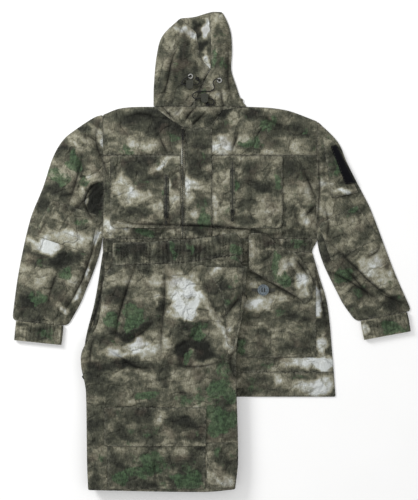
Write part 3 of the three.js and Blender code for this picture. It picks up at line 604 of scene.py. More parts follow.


# ---- Folds ----
# Each is (line, height of the ridge on its left, width of the ridge, depth of its groove).
FOLDS = {
    "hood": [
        ([(-0.006, 0.499), (-0.017, 0.470), (-0.033, 0.430), (-0.037, 0.413), (-0.065, 0.376)],
         0.0015, 0.008, 0.004),
        ([(-0.028, 0.600), (-0.030, 0.560), (-0.022, 0.520), (-0.018, 0.480)], 0.0012, 0.006, 0.003),
        ([(-0.006, 0.560), (-0.004, 0.530), (-0.006, 0.500)], 0.0010, 0.006, 0.003),
        ([(-0.086, 0.575), (-0.108, 0.51), (-0.124, 0.44), (-0.146, 0.386)], 0.0025, 0.012, 0.0035),
        ([(0.046, 0.575), (0.044, 0.51), (0.044, 0.456), (0.057, 0.397)], 0.0015, 0.008, 0.0025),
        ([(-0.121, 0.543), (-0.132, 0.483), (-0.14, 0.419)], 0.0015, 0.01, 0),
        ([(0.006, 0.602), (0.025, 0.543), (0.014, 0.483)], 0.0018, 0.01, 0.0012),
        ([(-0.097, 0.419), (-0.119, 0.389), (-0.14, 0.375)], 0.0015, 0.008, 0.0015),
        ([(-0.073, 0.408), (-0.092, 0.375), (-0.108, 0.359)], 0.0015, 0.008, 0.0015),
        ([(0.025, 0.435), (0.027, 0.408), (0.038, 0.381)], 0.0014, 0.007, 0.003),
        ([(-0.059, 0.51), (-0.07, 0.467), (-0.086, 0.429)], 0.0012, 0.008, 0),
        ([(-0.113, 0.613), (-0.081, 0.597), (-0.059, 0.559)], 0.0012, 0.008, 0.0012),
        ([(-0.016, 0.467), (0.006, 0.429), (0.008, 0.397)], 0.0012, 0.008, 0),
    ],
    "body": [
        ([(-0.262, 0.074), (-0.106, 0.070), (0.002, 0.065), (0.089, 0.058), (0.130, 0.050), (0.170, 0.023)],
         0.0020, 0.008, 0.0050),
        ([(-0.143, 0.313), (-0.132, 0.286), (-0.121, 0.262)], 0.0008, 0.006, 0.002),
        ([(0.073, 0.327), (0.062, 0.294), (0.052, 0.262)], 0.0008, 0.006, 0.002),
        ([(-0.243, 0.359), (-0.194, 0.37), (-0.146, 0.359)], 0.002, 0.01, 0.002),
        ([(-0.254, 0.332), (-0.227, 0.305), (-0.237, 0.267)], 0.0015, 0.009, 0),
        ([(0.246, 0.224), (0.262, 0.186), (0.281, 0.138)], 0.002, 0.009, 0.0040),
        ([(0.252, 0.096), (0.268, 0.110), (0.283, 0.128)], 0.0020, 0.008, 0.0050),
        ([(-0.066, 0.330), (-0.042, 0.350), (-0.012, 0.380)], 0.0018, 0.007, 0.0032),
        ([(-0.040, 0.392), (-0.058, 0.372), (-0.080, 0.338)], 0.0018, 0.008, 0.0045),
        ([(0.034, 0.392), (0.022, 0.372), (0.004, 0.345)], 0.0016, 0.007, 0.0040),
        ([(-0.136, 0.392), (-0.118, 0.372), (-0.096, 0.352)], 0.0018, 0.008, 0.0040),
        # Groove just outside the lower edge of the skirt flap; its dark band is the flap's painted shadow
        # on the pocket.
        ([(0.093, -0.049), (0.165, -0.090), (0.236, -0.130), (0.250, -0.146)], 0.0012, 0.007, 0.0040),
        ([(0.238, 0.138), (0.254, 0.17), (0.276, 0.203)], 0.0018, 0.008, 0),
        ([(0.135, 0.375), (0.162, 0.348), (0.211, 0.332)], 0.0018, 0.01, 0.0015),
        ([(0.227, 0.354), (0.254, 0.31), (0.26, 0.257)], 0.0015, 0.01, 0),
        ([(0.219, -0.014), (0.241, -0.041), (0.265, -0.076)], 0.0015, 0.006, 0.0025),
        ([(0.2, -0.019), (0.216, -0.046), (0.238, -0.081)], 0.0012, 0.006, 0.0015),
        ([(0.273, -0.014), (0.289, -0.092), (0.314, -0.227)], 0.0015, 0.007, 0.0025),
        ([(0.281, -0.24), (0.292, -0.192), (0.308, -0.154)], 0.0015, 0.008, 0),
        ([(-0.291, -0.019), (-0.299, -0.105), (-0.316, -0.181), (-0.343, -0.248)], 0.002, 0.007, 0.0035),
        ([(-0.307, -0.132), (-0.324, -0.2), (-0.34, -0.235)], 0.0012, 0.006, 0.0025),
        ([(0.108, -0.24), (0.119, -0.294), (0.103, -0.381)], 0.001, 0.008, 0),
        ([(-0.254, 0.059), (-0.167, 0.054), (-0.078, 0.062)], 0.0015, 0.006, 0.0012),
        ([(0.076, 0.051), (0.151, 0.041), (0.238, 0.062)], 0.0015, 0.006, 0.0012),
        ([(0.219, 0.124), (0.23, 0.078), (0.246, 0.046)], 0.0012, 0.006, 0.0015),
    ],
    "right_sleeve": [
        ([(-0.302, 0.356), (-0.313, 0.3), (-0.291, 0.23), (-0.275, 0.186)], 0.0018, 0.01, 0.0025),
        ([(-0.361, 0.319), (-0.324, 0.305), (-0.291, 0.273)], 0.0015, 0.008, 0.0018),
        ([(-0.345, 0.281), (-0.364, 0.197), (-0.394, 0.103)], 0.0022, 0.01, 0.0028),
        ([(-0.286, 0.189), (-0.335, 0.146), (-0.386, 0.092)], 0.0025, 0.009, 0.003),
        ([(-0.378, 0.246), (-0.405, 0.178), (-0.421, 0.122)], 0.0016, 0.009, 0),
        ([(-0.300, 0.072), (-0.316, 0.022), (-0.345, -0.065), (-0.378, -0.132), (-0.412, -0.178)],
         0.0028, 0.009, 0.0045),
        ([(-0.308, 0.078), (-0.329, 0.097), (-0.343, 0.138), (-0.322, 0.176), (-0.286, 0.190)],
         0.0034, 0.009, 0.0055),
        ([(-0.415, -0.054), (-0.434, -0.105), (-0.445, -0.154)], 0.002, 0.009, 0.0022),
        ([(-0.475, 0.003), (-0.48, -0.065), (-0.502, -0.132)], 0.0014, 0.009, 0),
        ([(-0.464, -0.132), (-0.448, -0.165), (-0.453, -0.192)], 0.001, 0.006, 0.0012),
        ([(-0.507, -0.149), (-0.513, -0.17), (-0.507, -0.192)], 0.0008, 0.005, 0.001),
        ([(-0.345, -0.03), (-0.383, -0.078), (-0.399, -0.122)], 0.0012, 0.007, 0),
    ],
    "left_sleeve": [
        ([(0.281, 0.316), (0.289, 0.219), (0.289, 0.127), (0.278, 0.03)], 0.0015, 0.007, 0.0025),
        ([(0.314, 0.024), (0.378, -0.035), (0.443, -0.097), (0.532, -0.151)], 0.003, 0.01, 0.0038),
        ([(0.289, -0.046), (0.346, -0.068), (0.4, -0.1), (0.47, -0.146)], 0.0026, 0.009, 0.0036),
        ([(0.346, -0.03), (0.416, -0.111), (0.432, -0.138)], 0.0015, 0.007, 0.0022),
        ([(0.449, -0.113), (0.481, -0.127), (0.516, -0.14)], 0.0015, 0.006, 0.0022),
        ([(0.324, 0.146), (0.362, 0.149), (0.4, 0.162)], 0.0008, 0.005, 0.0018),
        ([(0.308, 0.273), (0.303, 0.205), (0.319, 0.149)], 0.0012, 0.007, 0.0012),
        ([(0.459, 0.019), (0.443, -0.003), (0.416, -0.019)], 0.0014, 0.006, 0.0022),
        ([(0.319, 0.078), (0.359, 0.041), (0.373, 0.003)], 0.0012, 0.008, 0),
        ([(0.378, -0.03), (0.357, -0.057), (0.341, -0.089)], 0.001, 0.007, 0),
        ([(0.303, 0.122), (0.314, 0.073), (0.308, 0.019)], 0.0015, 0.008, 0.0018),
    ],
    "trousers": [
        ([(-0.2, -0.032), (-0.224, -0.092), (-0.248, -0.173), (-0.262, -0.246)], 0.0018, 0.008, 0.0038),
        ([(-0.167, -0.03), (-0.178, -0.092), (-0.167, -0.159)], 0.0015, 0.01, 0),
        ([(-0.151, -0.186), (-0.194, -0.224), (-0.243, -0.243)], 0.0016, 0.008, 0.0025),
        ([(0.095, -0.1), (0.06, -0.143), (0.022, -0.189)], 0.0014, 0.008, 0.003),
        ([(-0.127, -0.03), (-0.127, -0.132), (-0.135, -0.213), (-0.137, -0.294)], 0.0006, 0.006, 0.0018),
        ([(-0.011, -0.105), (0.011, -0.165), (0.044, -0.219)], 0.0015, 0.009, 0.0012),
        ([(-0.092, -0.046), (-0.075, -0.105), (-0.086, -0.173)], 0.0014, 0.011, 0),
        ([(-0.032, -0.192), (-0.059, -0.235), (-0.113, -0.267)], 0.0015, 0.009, 0.0018),
        ([(-0.31, -0.219), (-0.324, -0.262), (-0.329, -0.327)], 0.0012, 0.007, 0.002),
        ([(-0.27, -0.267), (-0.205, -0.31), (-0.14, -0.313)], 0.0012, 0.008, 0.0025),
        ([(-0.119, -0.3), (-0.043, -0.31), (0.044, -0.294)], 0.001, 0.007, 0.0018),
        ([(0, -0.335), (0.027, -0.402), (0.022, -0.483)], 0.0012, 0.009, 0),
        ([(-0.313, -0.402), (-0.302, -0.483), (-0.31, -0.578)], 0.001, 0.008, 0),
        ([(-0.289, -0.132), (-0.27, -0.181), (-0.28, -0.235)], 0.0012, 0.008, 0),
        ([(0.065, -0.254), (0.049, -0.3), (0.065, -0.348)], 0.0012, 0.007, 0.0018),
        ([(-0.154, -0.537), (-0.154, -0.586), (-0.151, -0.64)], 0.0008, 0.006, 0.0015),
    ],
}

# ---- Blots of the print, panel by panel; a few dark ones under the right arm are painted shade ----
# Each is (x, y, half width, half height, turn in degrees, tone, green).
BLOTS = {
    "hood_back": [
        (-0.012, 0.516, 0.008, 0.044, 0, 1.2, 0), (-0.022, 0.604, 0.009, 0.022, 0, 1.1, 0),
        (-0.042, 0.600, 0.010, 0.018, 0, -1.3, 0), (-0.026, 0.555, 0.016, 0.016, 0, -0.9, 0),
        (-0.030, 0.505, 0.007, 0.035, 0, -0.9, 0),
    ],
    "hood_right_panel": [
        (-0.068, 0.594, 0.036, 0.012, -38, 1.1, 0), (-0.097, 0.559, 0.024, 0.016, 0, 0.3, 0),
        (-0.059, 0.581, 0.014, 0.024, 0, 0.6, 0), (-0.124, 0.51, 0.024, 0.019, 0, 0.3, 0),
        (-0.14, 0.462, 0.016, 0.027, 0, -0.35, 0), (-0.097, 0.467, 0.027, 0.024, 0, -0.4, 0.3),
        (-0.07, 0.429, 0.022, 0.016, 0, 0.5, 0), (-0.127, 0.413, 0.022, 0.016, 0, 0.1, 0.3),
        (-0.043, 0.419, 0.014, 0.016, 0, 0.5, 0), (-0.108, 0.386, 0.022, 0.014, 0, -0.3, 0),
        (-0.075, 0.529, 0.016, 0.032, 0, -0.35, 0), (-0.14, 0.516, 0.014, 0.022, 0, -0.2, 0),
    ],
    "hood_left_panel": [
        (0.012, 0.628, 0.022, 0.016, 0, 0.9, 0),
        (0.019, 0.57, 0.019, 0.038, 0, -0.5, 0.2),
        (0.038, 0.51, 0.011, 0.027, 0, -0.2, 0.4), (0.006, 0.516, 0.014, 0.027, 0, 0.1, 0.5),
        (-0.013, 0.429, 0.011, 0.022, 0, 0.5, 0.4), (0.035, 0.424, 0.014, 0.011, 0, 0.6, 0),
        (0.019, 0.413, 0.014, 0.011, 0, 0.4, 0), (0.057, 0.413, 0.014, 0.022, 0, 0.2, 0),
        (0.006, 0.375, 0.016, 0.016, 0, -0.3, 0), (-0.016, 0.365, 0.011, 0.008, 0, 0.6, 0),
    ],
    "collar": [
        (-0.1, 0.351, 0.027, 0.008, 30, 0.3, 0), (-0.067, 0.335, 0.008, 0.011, 0, 0.9, 0),
        (-0.032, 0.359, 0.022, 0.016, 0, -0.4, 0), (-0.002, 0.348, 0.014, 0.014, 0, -0.5, 0.2),
        (0.027, 0.365, 0.016, 0.014, 0, -0.1, 0), (-0.054, 0.359, 0.005, 0.022, -20, 0.4, 0),
    ],
    "right_yoke": [
        (-0.243, 0.354, 0.027, 0.019, 0, -0.35, 0), (-0.167, 0.356, 0.075, 0.030, 0, -0.9, 0),
        (-0.086, 0.316, 0.038, 0.024, 0, -0.35, 0.6), (-0.194, 0.281, 0.043, 0.022, 0, 0.3, 0.35),
        (-0.254, 0.3, 0.014, 0.022, 0, 0.35, 0), (-0.162, 0.273, 0.032, 0.014, 0, 0.25, 0.2),
        (-0.097, 0.273, 0.024, 0.011, 0, 0.2, 0), (-0.21, 0.294, 0.016, 0.011, 0, 0.4, 0),
        (-0.054, 0.348, 0.014, 0.032, 0, -0.2, 0),
    ],
    "left_yoke": [
        (0.027, 0.281, 0.035, 0.024, 0, 0.95, 0), (0.06, 0.362, 0.024, 0.019, 0, 0.85, 0),
        (0.027, 0.329, 0.03, 0.016, 0, -0.5, 0), (0.108, 0.294, 0.038, 0.022, 0, -0.3, 0.5),
        (0.014, 0.376, 0.034, 0.012, 0, -1.0, 0), (0.118, 0.368, 0.034, 0.014, 0, -0.7, 0),
        (0.087, 0.305, 0.022, 0.014, 0, 0.55, 0), (0.157, 0.332, 0.038, 0.027, 0, -0.4, 0.5),
        (0.197, 0.359, 0.027, 0.014, 0, 0.3, 0), (0.238, 0.332, 0.032, 0.022, 0, -0.2, 0.3),
        (0.135, 0.27, 0.049, 0.011, 0, 0.1, 0.1), (0.254, 0.284, 0.024, 0.019, 0, -0.25, 0.2),
        (0.206, 0.294, 0.022, 0.016, 0, 0.35, 0),
    ],
    "placket": [
        (-0.037, 0.273, 0.035, 0.054, 0, -0.55, 0), (-0.013, 0.227, 0.014, 0.014, 0, 0.4, 0),
        (-0.032, 0.211, 0.03, 0.016, 0, -0.5, 0), (-0.065, 0.17, 0.011, 0.041, 8, 0.95, 0),
        (-0.051, 0.181, 0.022, 0.011, 0, 0.6, 0), (-0.024, 0.13, 0.019, 0.032, 0, -0.3, 0.5),
        (-0.048, 0.1, 0.011, 0.022, 20, 0.5, 0), (-0.019, 0.078, 0.016, 0.016, 0, -0.1, 0.8),
        (-0.056, 0.041, 0.014, 0.014, 0, 0.9, 0), (-0.024, 0.043, 0.016, 0.014, 0, -0.4, 0.2),
    ],
    "front_zip": [
        (-0.078, 0.246, 0.008, 0.027, 0, 0.9, 0), (-0.078, 0.197, 0.008, 0.016, 0, -0.3, 0),
        (-0.078, 0.165, 0.008, 0.032, 0, 0.5, 0), (-0.078, 0.097, 0.008, 0.038, 0, -0.3, 0),
    ],
    "right_chest_pocket": [
        (-0.235, 0.165, 0.03, 0.038, 20, 1, 0), (-0.2, 0.146, 0.035, 0.022, 25, 0.85, 0),
        (-0.151, 0.122, 0.032, 0.016, 15, 0.65, 0), (-0.21, 0.216, 0.035, 0.016, 42, -0.55, 0),
        (-0.183, 0.189, 0.027, 0.016, 45, -0.5, 0.2), (-0.232, 0.243, 0.032, 0.014, 0, -0.25, 0),
        (-0.167, 0.246, 0.022, 0.019, 0, -0.5, 0), (-0.154, 0.219, 0.022, 0.011, 0, 0.35, 0),
        (-0.146, 0.194, 0.019, 0.016, 0, -0.55, 0), (-0.216, 0.095, 0.059, 0.016, 6, -0.65, 0),
        (-0.151, 0.084, 0.038, 0.014, 0, -0.15, 0), (-0.137, 0.232, 0.008, 0.022, -20, 0.9, 0),
        (-0.116, 0.178, 0.005, 0.022, 0, 0.9, 0), (-0.124, 0.122, 0.008, 0.038, 0, -0.55, 0),
        (-0.127, 0.157, 0.011, 0.011, 0, -0.2, 0.7), (-0.1, 0.184, 0.014, 0.024, 0, -0.5, 0),
        (-0.097, 0.138, 0.022, 0.024, 0, 0.4, 0), (-0.1, 0.086, 0.024, 0.019, 0, -0.5, 0),
    ],
    "left_chest_pocket": [
        (0.054, 0.23, 0.043, 0.016, 0, -0.4, 0), (0.108, 0.219, 0.024, 0.019, 0, -0.5, 0.1),
        (0.141, 0.213, 0.016, 0.022, 0, 0.25, 0), (0.135, 0.17, 0.016, 0.014, 0, -0.35, 0),
        (0.184, 0.192, 0.019, 0.032, 0, -0.3, 0.35), (0.065, 0.181, 0.011, 0.024, 0, 0, 0.9),
        (0.035, 0.151, 0.022, 0.032, 0, 0.15, 0), (0.146, 0.124, 0.032, 0.022, 0, 0.35, 0),
        (0.195, 0.138, 0.014, 0.032, 0, 0.35, 0), (0.103, 0.124, 0.027, 0.016, 0, -0.4, 0),
        (0.087, 0.086, 0.027, 0.014, 0, -0.45, 0), (0.138, 0.076, 0.038, 0.014, 0, 0.3, 0),
        (0.178, 0.089, 0.016, 0.016, 0, -0.5, 0), (0.008, 0.124, 0.008, 0.041, 0, 0.9, 0),
        (0.025, 0.078, 0.016, 0.019, 0, -0.3, 0.5), (0.044, 0.192, 0.016, 0.016, 0, 0.3, 0),
    ],
    "right_front": [
        (-0.28, 0.059, 0.016, 0.024, 0, 0.9, 0), (-0.237, 0.054, 0.03, 0.011, 0, 0.8, 0),
        (-0.167, 0.051, 0.043, 0.011, 0, -0.4, 0.6), (-0.105, 0.054, 0.022, 0.011, 0, 0.3, 0),
        (-0.28, 0.138, 0.014, 0.054, 0, -0.3, 0),
    ],
    "left_front": [
        (0.243, 0.103, 0.011, 0.035, 22, 0.8, 0), (0.23, 0.062, 0.024, 0.016, 0, -0.4, 0),
        (0.227, 0.213, 0.019, 0.032, 0, -0.3, 0.3), (0.246, 0.165, 0.014, 0.022, 0, 0.2, 0),
        (0.268, 0.097, 0.011, 0.027, 0, 0.1, 0),
    ],
    "waist_casing": [
        (-0.28, 0.022, 0.024, 0.022, 0, -0.55, 0), (0.192, 0.027, 0.008, 0.014, 0, 0.6, 0),
        (0.208, 0.022, 0.011, 0.014, 0, -0.4, 0), (0.23, 0.022, 0.011, 0.019, 0, 0, 1),
        (0.251, 0.022, 0.011, 0.019, 0, -0.4, 0.4), (0.268, 0.03, 0.005, 0.016, 0, -0.4, 0),
    ],
    "right_skirt": [
        (-0.316, -0.105, 0.022, 0.124, -12, -0.35, 0.2), (-0.326, -0.267, 0.016, 0.027, 0, 0.3, 0),
        (-0.294, -0.046, 0.011, 0.027, 0, 0.1, 0),
    ],
    "left_skirt": [
        (0.281, -0.138, 0.015, 0.044, 0, 1.7, 0), (0.297, -0.254, 0.020, 0.028, 0, 1.6, 0),
        (0.27, -0.302, 0.066, 0.015, -8, 1.5, 0), (0.308, -0.305, 0.026, 0.020, 0, 1.3, 0),
        (0.197, -0.313, 0.043, 0.011, 0, 0.4, 0), (0.103, -0.31, 0.038, 0.016, 0, -0.3, 0.2),
        (0.151, -0.294, 0.027, 0.016, 0, -0.6, 0.2), (0.246, -0.03, 0.032, 0.022, 0, -0.4, 0),
        (0.311, -0.165, 0.014, 0.027, 0, -0.5, 0), (0.322, -0.213, 0.011, 0.022, 0, -0.3, 0),
        (0.305, -0.078, 0.011, 0.027, 0, -0.2, 0.2),
    ],
    "left_skirt_pocket": [
        (0.1, -0.084, 0.019, 0.016, 0, 0.35, 0), (0.106, -0.138, 0.024, 0.024, 0, 0.85, 0),
        (0.138, -0.143, 0.027, 0.022, 0, 0.7, 0), (0.176, -0.132, 0.024, 0.019, 0, 0.5, 0),
        (0.227, -0.132, 0.032, 0.022, 0, 0.25, 0), (0.157, -0.184, 0.097, 0.016, 0, -0.5, 0),
        (0.241, -0.167, 0.032, 0.016, 0, -0.15, 0), (0.103, -0.23, 0.024, 0.008, 0, 0.5, 0),
        (0.173, -0.243, 0.038, 0.019, 0, 0.15, 0), (0.13, -0.265, 0.024, 0.03, 0, -0.5, 0.4),
        (0.2, -0.254, 0.027, 0.022, 0, -0.25, 0), (0.251, -0.254, 0.027, 0.03, 0, -0.3, 0),
        (0.079, -0.254, 0.016, 0.024, 0, -0.45, 0.5),
    ],
    "left_skirt_flap": [
        (0.103, 0.003, 0.035, 0.024, 0, 0.35, 0), (0.133, 0.027, 0.024, 0.016, 0, -0.4, 0),
        (0.17, -0.03, 0.016, 0.035, 0, 0, 1), (0.197, -0.076, 0.016, 0.024, 0, -0.1, 1),
        (0.149, -0.059, 0.016, 0.022, 0, -0.35, 0), (0.211, -0.03, 0.016, 0.03, 0, 0.25, 0),
        (0.244, -0.094, 0.019, 0.034, 0, 1.4, 0), (0.251, -0.124, 0.019, 0.011, 0, -0.1, 0),
        (0.076, 0.041, 0.027, 0.014, 0, -0.35, 0.2), (0.141, -0.011, 0.016, 0.016, 0, -0.4, 0.1),
        (0.098, -0.032, 0.022, 0.014, 0, 0.35, 0),
    ],
    "hem_facing": [
        (0.076, -0.362, 0.024, 0.022, 0, 0.15, 0), (0.124, -0.359, 0.038, 0.027, 0, -0.4, 0.2),
        (0.103, -0.383, 0.032, 0.011, 0, -0.5, 0), (0.181, -0.343, 0.011, 0.019, 0, 0.6, 0),
        (0.214, -0.356, 0.035, 0.022, 0, 0.8, 0), (0.268, -0.373, 0.034, 0.022, 0, 1.0, 0),
        (0.305, -0.360, 0.026, 0.026, 0, 1.1, 0), (0.243, -0.34, 0.027, 0.008, 0, -0.3, 0.5),
    ],
    "right_sleeve": [
        (-0.324, 0.351, 0.03, 0.011, -28, -0.45, 0), (-0.345, 0.329, 0.022, 0.008, -30, -0.65, 0),
        (-0.302, 0.313, 0.032, 0.014, -20, 0.35, 0.1), (-0.283, 0.286, 0.014, 0.014, 0, 0.9, 0),
        (-0.38, 0.302, 0.019, 0.007, -15, 0.85, 0), (-0.356, 0.267, 0.014, 0.022, 0, 0.6, 0),
        (-0.405, 0.275, 0.016, 0.011, 0, -0.65, 0), (-0.375, 0.267, 0.011, 0.024, 0, -0.2, 0.7),
        (-0.407, 0.238, 0.016, 0.022, 0, 0.15, 0), (-0.372, 0.23, 0.016, 0.016, -30, 0, 1.1),
        (-0.394, 0.192, 0.022, 0.016, -40, 0, 1.2), (-0.429, 0.211, 0.014, 0.019, -50, 0, 1.1),
        (-0.445, 0.24, 0.011, 0.016, 0, -0.5, 0), (-0.437, 0.173, 0.027, 0.016, 0, -0.65, 0),
        (-0.402, 0.154, 0.022, 0.014, -30, -0.55, 0), (-0.361, 0.208, 0.008, 0.022, 15, -0.6, 0),
        (-0.38, 0.173, 0.011, 0.024, 50, 0.4, 0), (-0.364, 0.143, 0.014, 0.027, 0, 0.3, 0),
        (-0.326, 0.208, 0.014, 0.019, 0, 0.85, 0), (-0.343, 0.184, 0.014, 0.019, 0, -0.3, 0.5),
        # The darkest blots on the next three lines, between x -0.32 and -0.29 and y 0.12 and 0.16, are
        # painted shade in the hollow under the arm.
        (-0.31, 0.159, 0.019, 0.027, 30, -1.1, 0), (-0.316, 0.122, 0.016, 0.035, 0, -1.2, 0),
        (-0.291, 0.13, 0.014, 0.049, 0, -0.8, 0), (-0.453, 0.124, 0.027, 0.019, -10, -0.7, 0),
        (-0.302, 0.150, 0.020, 0.032, -20, -1.6, 0), (-0.347, 0.150, 0.008, 0.030, 12, 0.9, 0),
        (-0.318, 0.184, 0.022, 0.006, 22, 0.8, 0), (-0.312, 0.030, 0.006, 0.020, -14, 1.3, 0),
        (-0.336, -0.052, 0.007, 0.030, -20, 1.3, 0), (-0.362, -0.118, 0.008, 0.022, -26, 1.2, 0),
        (-0.392, -0.166, 0.012, 0.012, -40, 0.9, 0),
        (-0.448, 0.081, 0.027, 0.022, 0, 0.2, 0), (-0.418, 0.081, 0.014, 0.019, 0, 0.8, 0),
        (-0.378, 0.045, 0.066, 0.036, -5, 1.3, 0), (-0.453, 0.014, 0.038, 0.019, -15, 1.1, 0),
        (-0.351, 0.068, 0.019, 0.011, 0, -0.1, 0.6), (-0.464, -0.03, 0.03, 0.022, 0, -0.5, 0.2),
        (-0.394, -0.016, 0.043, 0.019, 5, -0.65, 0.1), (-0.494, -0.014, 0.014, 0.027, 0, 0.2, 0),
        (-0.445, -0.059, 0.027, 0.016, 0, 0.45, 0), (-0.397, -0.068, 0.019, 0.024, 0, -0.2, 0.9),
        (-0.505, -0.146, 0.027, 0.024, 0, -0.65, 0.1), (-0.421, -0.097, 0.016, 0.038, 15, -0.6, 0),
        (-0.47, -0.127, 0.024, 0.022, 0, -0.35, 0.5), (-0.34, -0.054, 0.008, 0.038, 22, 0.85, 0),
        (-0.402, -0.162, 0.008, 0.035, 22, 0.7, 0), (-0.483, -0.086, 0.027, 0.016, 0, 0.15, 0),
        (-0.372, -0.119, 0.016, 0.024, 0, 0.3, 0),
    ],
    "right_cuff": [
        (-0.507, -0.208, 0.016, 0.016, 0, 0.6, 0), (-0.451, -0.219, 0.027, 0.019, 0, -0.3, 0.5),
        (-0.478, -0.235, 0.022, 0.011, 0, -0.3, 0), (-0.41, -0.23, 0.011, 0.022, 0, 0.35, 0),
    ],
    "left_sleeve": [
        (0.308, 0.273, 0.019, 0.038, 0, -0.3, 0.3), (0.297, 0.165, 0.011, 0.024, 0, 0.5, 0),
        (0.319, 0.097, 0.016, 0.03, 0, 0.25, 0), (0.319, 0.051, 0.016, 0.024, 0, -0.4, 0),
        (0.43, -0.038, 0.032, 0.032, 30, 0.9, 0), (0.462, -0.078, 0.03, 0.019, 40, 0.85, 0),
        (0.47, -0.016, 0.016, 0.016, 0, 0.4, 0), (0.3, -0.008, 0.041, 0.016, 10, -1, 0),
        (0.351, 0.011, 0.032, 0.016, 0, -0.25, 0), (0.359, -0.062, 0.027, 0.019, 0, -0.4, 0.9),
        (0.389, -0.108, 0.038, 0.014, 30, -0.5, 0.3), (0.335, -0.108, 0.019, 0.019, 0, 0.3, 0),
        (0.416, -0.132, 0.022, 0.011, 30, 0.5, 0), (0.497, -0.138, 0.03, 0.014, 25, -0.75, 0.1),
        (0.376, -0.159, 0.027, 0.014, 0, -0.3, 0.2), (0.519, -0.108, 0.011, 0.016, 0, 0.4, 0),
        (0.297, -0.065, 0.016, 0.024, 0, -0.5, 0.3), (0.386, 0.192, 0.022, 0.027, 0, -0.2, 0.2),
        (0.413, 0.116, 0.019, 0.027, 0, 0.2, 0),
    ],
    "left_cuff": [
        (0.411, -0.213, 0.011, 0.024, 0, 1.1, 0), (0.476, -0.203, 0.024, 0.024, 0, -0.1, 1),
        (0.44, -0.205, 0.014, 0.024, 0, 0.15, 0), (0.519, -0.203, 0.016, 0.024, 0, -0.1, 0.3),
    ],
    "sleeve_pocket": [
        (0.335, 0.238, 0.022, 0.038, 0, -0.4, 0.6), (0.359, 0.173, 0.016, 0.014, 0, -0.3, 0.1),
        (0.362, 0.157, 0.041, 0.008, -15, 1, 0), (0.319, 0.178, 0.011, 0.016, 0, 0.3, 0),
    ],
    "left_elbow_patch": [
        (0.373, 0.124, 0.032, 0.019, 0, -0.55, 0.5), (0.324, 0.078, 0.016, 0.027, 0, 0.3, 0),
        (0.403, 0.068, 0.027, 0.022, 0, 0.05, 0), (0.338, 0.041, 0.022, 0.019, 0, -0.4, 0),
        (0.392, 0.038, 0.027, 0.016, 0, -0.2, 0), (0.44, 0.03, 0.016, 0.024, 0, 0.25, 0),
        (0.413, 0.105, 0.016, 0.016, 0, 0.2, 0),
    ],
    "right_elbow_patch": [
        (-0.437, 0.1, 0.024, 0.014, 0, 0.1, 0), (-0.453, 0.081, 0.027, 0.019, 0, 0.2, 0),
        (-0.418, 0.081, 0.014, 0.019, 0, 0.8, 0), (-0.383, 0.035, 0.054, 0.024, -5, 0.95, 0),
        (-0.453, 0.019, 0.038, 0.016, -15, 0.8, 0), (-0.351, 0.073, 0.019, 0.011, 0, -0.1, 0.6),
    ],
    "left_leg": [
        (0.0015, -0.163, 0.115, 0.0085, -63, 0.8, 0), (-0.085, -0.105, 0.040, 0.036, 10, 0.5, 0),
        (-0.205, -0.262, 0.082, 0.022, 14, 0.8, 0), (-0.200, -0.215, 0.050, 0.012, 20, -0.5, 0.3),
        (-0.015, -0.420, 0.060, 0.060, 0, -0.1, 0.5), (0.030, -0.330, 0.030, 0.040, 0, -0.2, 0.5),
        (-0.254, -0.046, 0.035, 0.011, 0, -0.4, 0), (-0.251, -0.073, 0.038, 0.024, 0, 0.55, 0),
        (-0.262, -0.119, 0.035, 0.024, 0, -0.65, 0), (-0.289, -0.157, 0.011, 0.016, 0, 0.7, 0),
        (-0.272, -0.184, 0.024, 0.022, 0, -0.1, 1.1), (-0.21, -0.162, 0.022, 0.024, 0, -0.1, 1.2),
        (-0.205, -0.194, 0.032, 0.014, 20, -0.1, 1.1), (-0.191, -0.07, 0.016, 0.022, 0, 0.25, 0),
        (-0.227, -0.227, 0.054, 0.014, -12, -0.85, 0), (-0.28, -0.243, 0.024, 0.019, 0, -0.55, 0.2),
        (-0.183, -0.262, 0.046, 0.024, -12, 1.1, 0), (-0.254, -0.273, 0.03, 0.011, 0, 0.7, 0),
        (-0.248, -0.305, 0.081, 0.011, 3, -0.9, 0), (-0.229, -0.335, 0.054, 0.016, 0, 0.2, 0),
        (-0.289, -0.365, 0.027, 0.024, 0, -0.4, 0), (-0.245, -0.362, 0.032, 0.014, 0, -0.3, 0),
        (-0.173, -0.389, 0.024, 0.014, 0, -0.2, 1.1), (-0.218, -0.397, 0.022, 0.011, 0, 0.5, 0),
        (-0.092, -0.092, 0.027, 0.043, 0, 0.75, 0), (-0.059, -0.132, 0.032, 0.038, 20, 1.1, 0),
        (-0.086, -0.165, 0.041, 0.022, 0, 1.1, 0), (-0.154, -0.07, 0.016, 0.024, 0, 0.65, 0),
        (-0.146, -0.127, 0.011, 0.019, 0, 0.85, 0), (-0.137, -0.154, 0.011, 0.016, 0, -0.7, 0),
        (-0.051, -0.194, 0.059, 0.011, -8, -0.6, 0.4), (-0.04, -0.224, 0.022, 0.016, -20, -0.1, 1.1),
        (-0.119, -0.243, 0.016, 0.027, 0, 0.15, 0), (-0.083, -0.273, 0.016, 0.03, 0, -1.1, 0),
        (-0.048, -0.254, 0.032, 0.014, 0, -1, 0), (-0.016, -0.273, 0.024, 0.022, 0, -1.1, 0),
        (-0.059, -0.286, 0.011, 0.016, 0, -0.1, 1), (-0.127, -0.329, 0.019, 0.035, 0, -0.75, 0),
        (-0.086, -0.381, 0.032, 0.024, 0, 0.15, 0), (-0.016, -0.332, 0.027, 0.024, 0, -0.1, 0.3),
        (0.014, -0.367, 0.022, 0.022, 0, -0.3, 0.9), (-0.024, -0.305, 0.022, 0.011, 0, 0.4, 0),
        (-0.013, -0.051, 0.019, 0.016, 0, -0.5, 0), (0.003, -0.097, 0.019, 0.016, 0, -0.65, 0),
        (0.041, -0.084, 0.022, 0.024, 0, -0.75, 0), (0.038, -0.13, 0.014, 0.014, 0, -0.5, 0),
        (0.062, -0.132, 0.016, 0.022, 0, 0.35, 0), (0.065, -0.016, 0.016, 0.022, 0, -0.1, 0.9),
